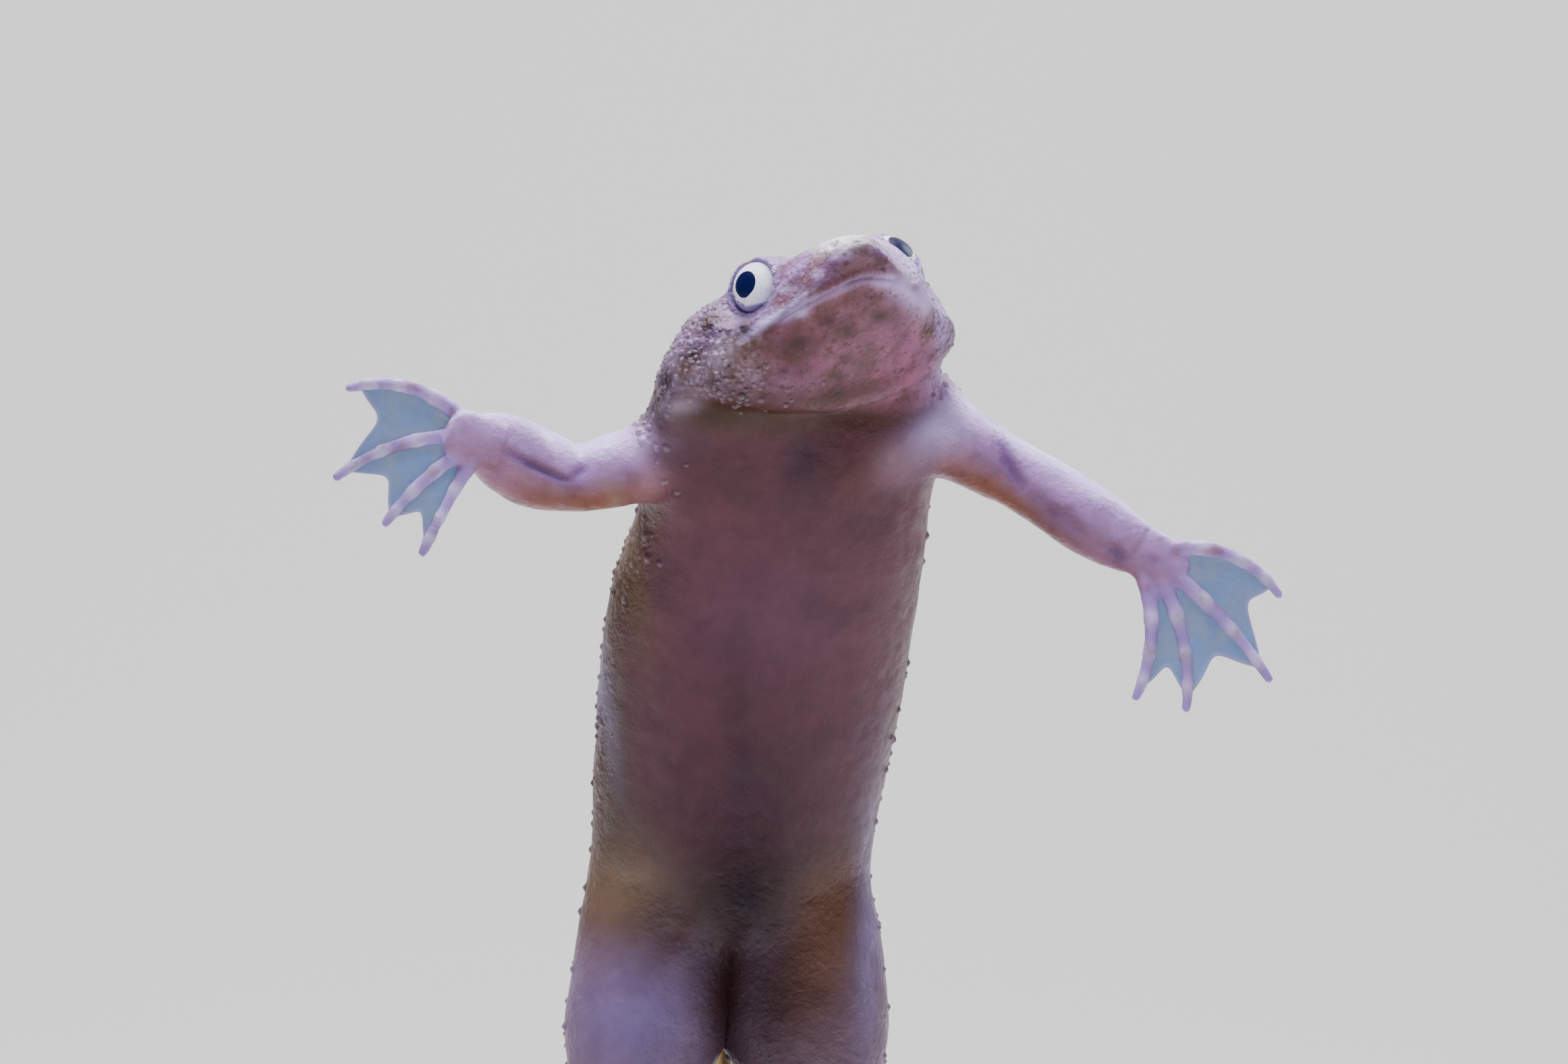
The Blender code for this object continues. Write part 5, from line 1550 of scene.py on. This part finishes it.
def granule_tree(skin, shape, material):
    """Scatters granules over the skin where a value of its points allows them."""
    tree = bpy.data.node_groups.new("granules", "GeometryNodeTree")
    tree.interface.new_socket("Geometry", in_out="INPUT", socket_type="NodeSocketGeometry")
    for name, kind, value in (
        ("Spacing", "NodeSocketFloat", 0.30 * MM), ("Smallest", "NodeSocketFloat", 0.13 * MM),
        ("Largest", "NodeSocketFloat", 0.17 * MM), ("Density", "NodeSocketFloat", 14e6),
        ("Where", "NodeSocketString", "warts"), ("Seed", "NodeSocketInt", 7),
    ):
        tree.interface.new_socket(name, in_out="INPUT", socket_type=kind).default_value = value
    tree.interface.new_socket("Geometry", in_out="OUTPUT", socket_type="NodeSocketGeometry")
    sizes = tree.nodes.new("NodeGroupInput").outputs

    def add(kind, output, settings=None, **inputs):
        node = tree.nodes.new(kind)
        for key, value in (settings or {}).items():
            setattr(node, key, value)
        for key, value in inputs.items():
            socket = node.inputs[key.replace("_", " ")]
            if isinstance(value, bpy.types.NodeSocket):
                tree.links.new(value, socket)
            else:
                socket.default_value = value
        return node.outputs[output] if isinstance(output, str) else node

    surface = add("GeometryNodeObjectInfo", "Geometry", Object=skin)
    allowed = add("GeometryNodeInputNamedAttribute", "Attribute", {"data_type": "FLOAT"}, Name=sizes["Where"])
    scatter = add(
        "GeometryNodeDistributePointsOnFaces", None, {"distribute_method": "POISSON"},
        Mesh=surface, Distance_Min=sizes["Spacing"], Density_Max=sizes["Density"], Density_Factor=allowed,
        Seed=sizes["Seed"],
    )
    random = add("FunctionNodeRandomValue", None, {"data_type": "FLOAT"}, Seed=3)
    tree.links.new(sizes["Smallest"], random.inputs[2])
    tree.links.new(sizes["Largest"], random.inputs[3])
    granule = add("GeometryNodeObjectInfo", "Geometry", Object=shape)
    placed = add(
        "GeometryNodeInstanceOnPoints", "Instances", Points=scatter.outputs["Points"], Instance=granule,
        Rotation=scatter.outputs["Rotation"], Scale=random.outputs[1],
    )
    real = add("GeometryNodeRealizeInstances", "Geometry", Geometry=placed)
    smooth = add("GeometryNodeSetShadeSmooth", "Geometry", Geometry=real)
    dressed = add("GeometryNodeSetMaterial", "Geometry", Geometry=smooth, Material=material)
    tree.links.new(dressed, tree.nodes.new("NodeGroupOutput").inputs[0])
    return tree


def make_granules(skin, material):
    """Low round granules, close on the head, and coarser and wider apart on the back, flanks and thighs."""
    shape = granule_shape()
    tree = granule_tree(skin, shape, material)
    inputs = {item.name: item.identifier for item in tree.interface.items_tree if item.in_out == "INPUT"}
    for name, node, where, spacing, largest, seed in (
        ("granules_head", "head", "warts_head", 0.25, 0.23, 7),
        ("granules_body", "torso", "warts_body", 0.46, 0.30, 9),
    ):
        sizes = {"Where": where, "Spacing": spacing * MM, "Largest": largest * MM, "Seed": seed}
        holder = bpy.data.objects.new(name, bpy.data.meshes.new(name))
        bpy.context.scene.collection.objects.link(holder)
        scatter = holder.modifiers.new("granules", "NODES")
        scatter.node_group = tree
        for key, value in sizes.items():
            scatter[inputs[key]] = value
        show(settle(holder), "upper_skin", node)
    bpy.data.objects.remove(shape)


def make_stage():
    """A pale floor that curves up into the background, soft light from above, and the camera."""
    steps = np.linspace(0, math.pi / 2, 24)
    profile = [(-0.5, 0.0), (0.45, 0.0)]
    profile += [(0.45 + 0.35 * math.sin(a), 0.35 - 0.35 * math.cos(a)) for a in steps[1:]] + [(0.80, 1.6)]
    points, faces = [], []
    for y, z in profile:
        points += [(-1.6, y, z), (1.6, y, z)]
    for i in range(len(profile) - 1):
        a = i * 2
        faces.append((a, a + 1, a + 3, a + 2))
    mesh = bpy.data.meshes.new("floor")
    mesh.from_pydata(points, [], faces)
    mesh.shade_smooth()
    floor = bpy.data.objects.new("floor", mesh)
    bpy.context.scene.collection.objects.link(floor)
    g = Graph("pale floor")
    dress(floor, g.set(Base_Color=(0.80, 0.80, 0.80), Roughness=0.85))

    lamps = (
        ("key", (-0.03, -0.04, 0.36), 0.14, 2.0, (0.92, 0.90, 1.0)),
        ("rim", (0.20, 0.14, 0.22), 0.12, 0.6, (0.84, 0.88, 1.0)),
        ("fill", (0.05, -0.45, 0.06), 0.40, 0.12, (1.0, 0.93, 0.95)),
        ("backdrop", (0.0, 0.25, 0.75), 0.50, 8.0, (1.0, 1.0, 1.0)),
    )
    for name, place, size, power, colour in lamps:
        light = bpy.data.lights.new(name, "AREA")
        light.size, light.energy, light.color = size, power, colour
        lamp = bpy.data.objects.new(name, light)
        lamp.location = place
        aim = (0.0, 0.70, 0.10) if name == "backdrop" else (0.001, 0.0, 0.055)
        lamp.rotation_euler = (Vector(aim) - Vector(place)).to_track_quat("-Z", "Y").to_euler()
        bpy.context.scene.collection.objects.link(lamp)
    world = bpy.data.worlds.new("soft light")
    world.use_nodes = True
    world.node_tree.nodes["Background"].inputs["Color"].default_value = (0.86, 0.90, 1.0, 1.0)
    world.node_tree.nodes["Background"].inputs["Strength"].default_value = 0.10
    bpy.context.scene.world = world

    camera = bpy.data.objects.new("camera", bpy.data.cameras.new("camera"))
    x, y, z = PHOTO_MIDDLE
    camera.location = (x * MM, (y - CAMERA_AWAY) * MM, z * MM)
    camera.rotation_euler = (math.pi / 2, 0.0, 0.0)
    camera.data.sensor_width = 36.0
    camera.data.lens = 36.0 * CAMERA_AWAY / (PHOTO_WIDTH / PHOTO_SCALE)
    camera.data.clip_start, camera.data.clip_end = 0.01, 20.0
    bpy.context.scene.collection.objects.link(camera)
    bpy.context.scene.camera = camera


skin = shape_skin(raw_skin())
paint_skin(skin)
dress(skin, skin_material("frog skin", 0.0))
show(skin, "upper_skin", *FLESH)
make_granules(skin, skin_material("granules", 0.17))
make_webs()
make_eyes()
make_claws()
make_stand()
make_stage()
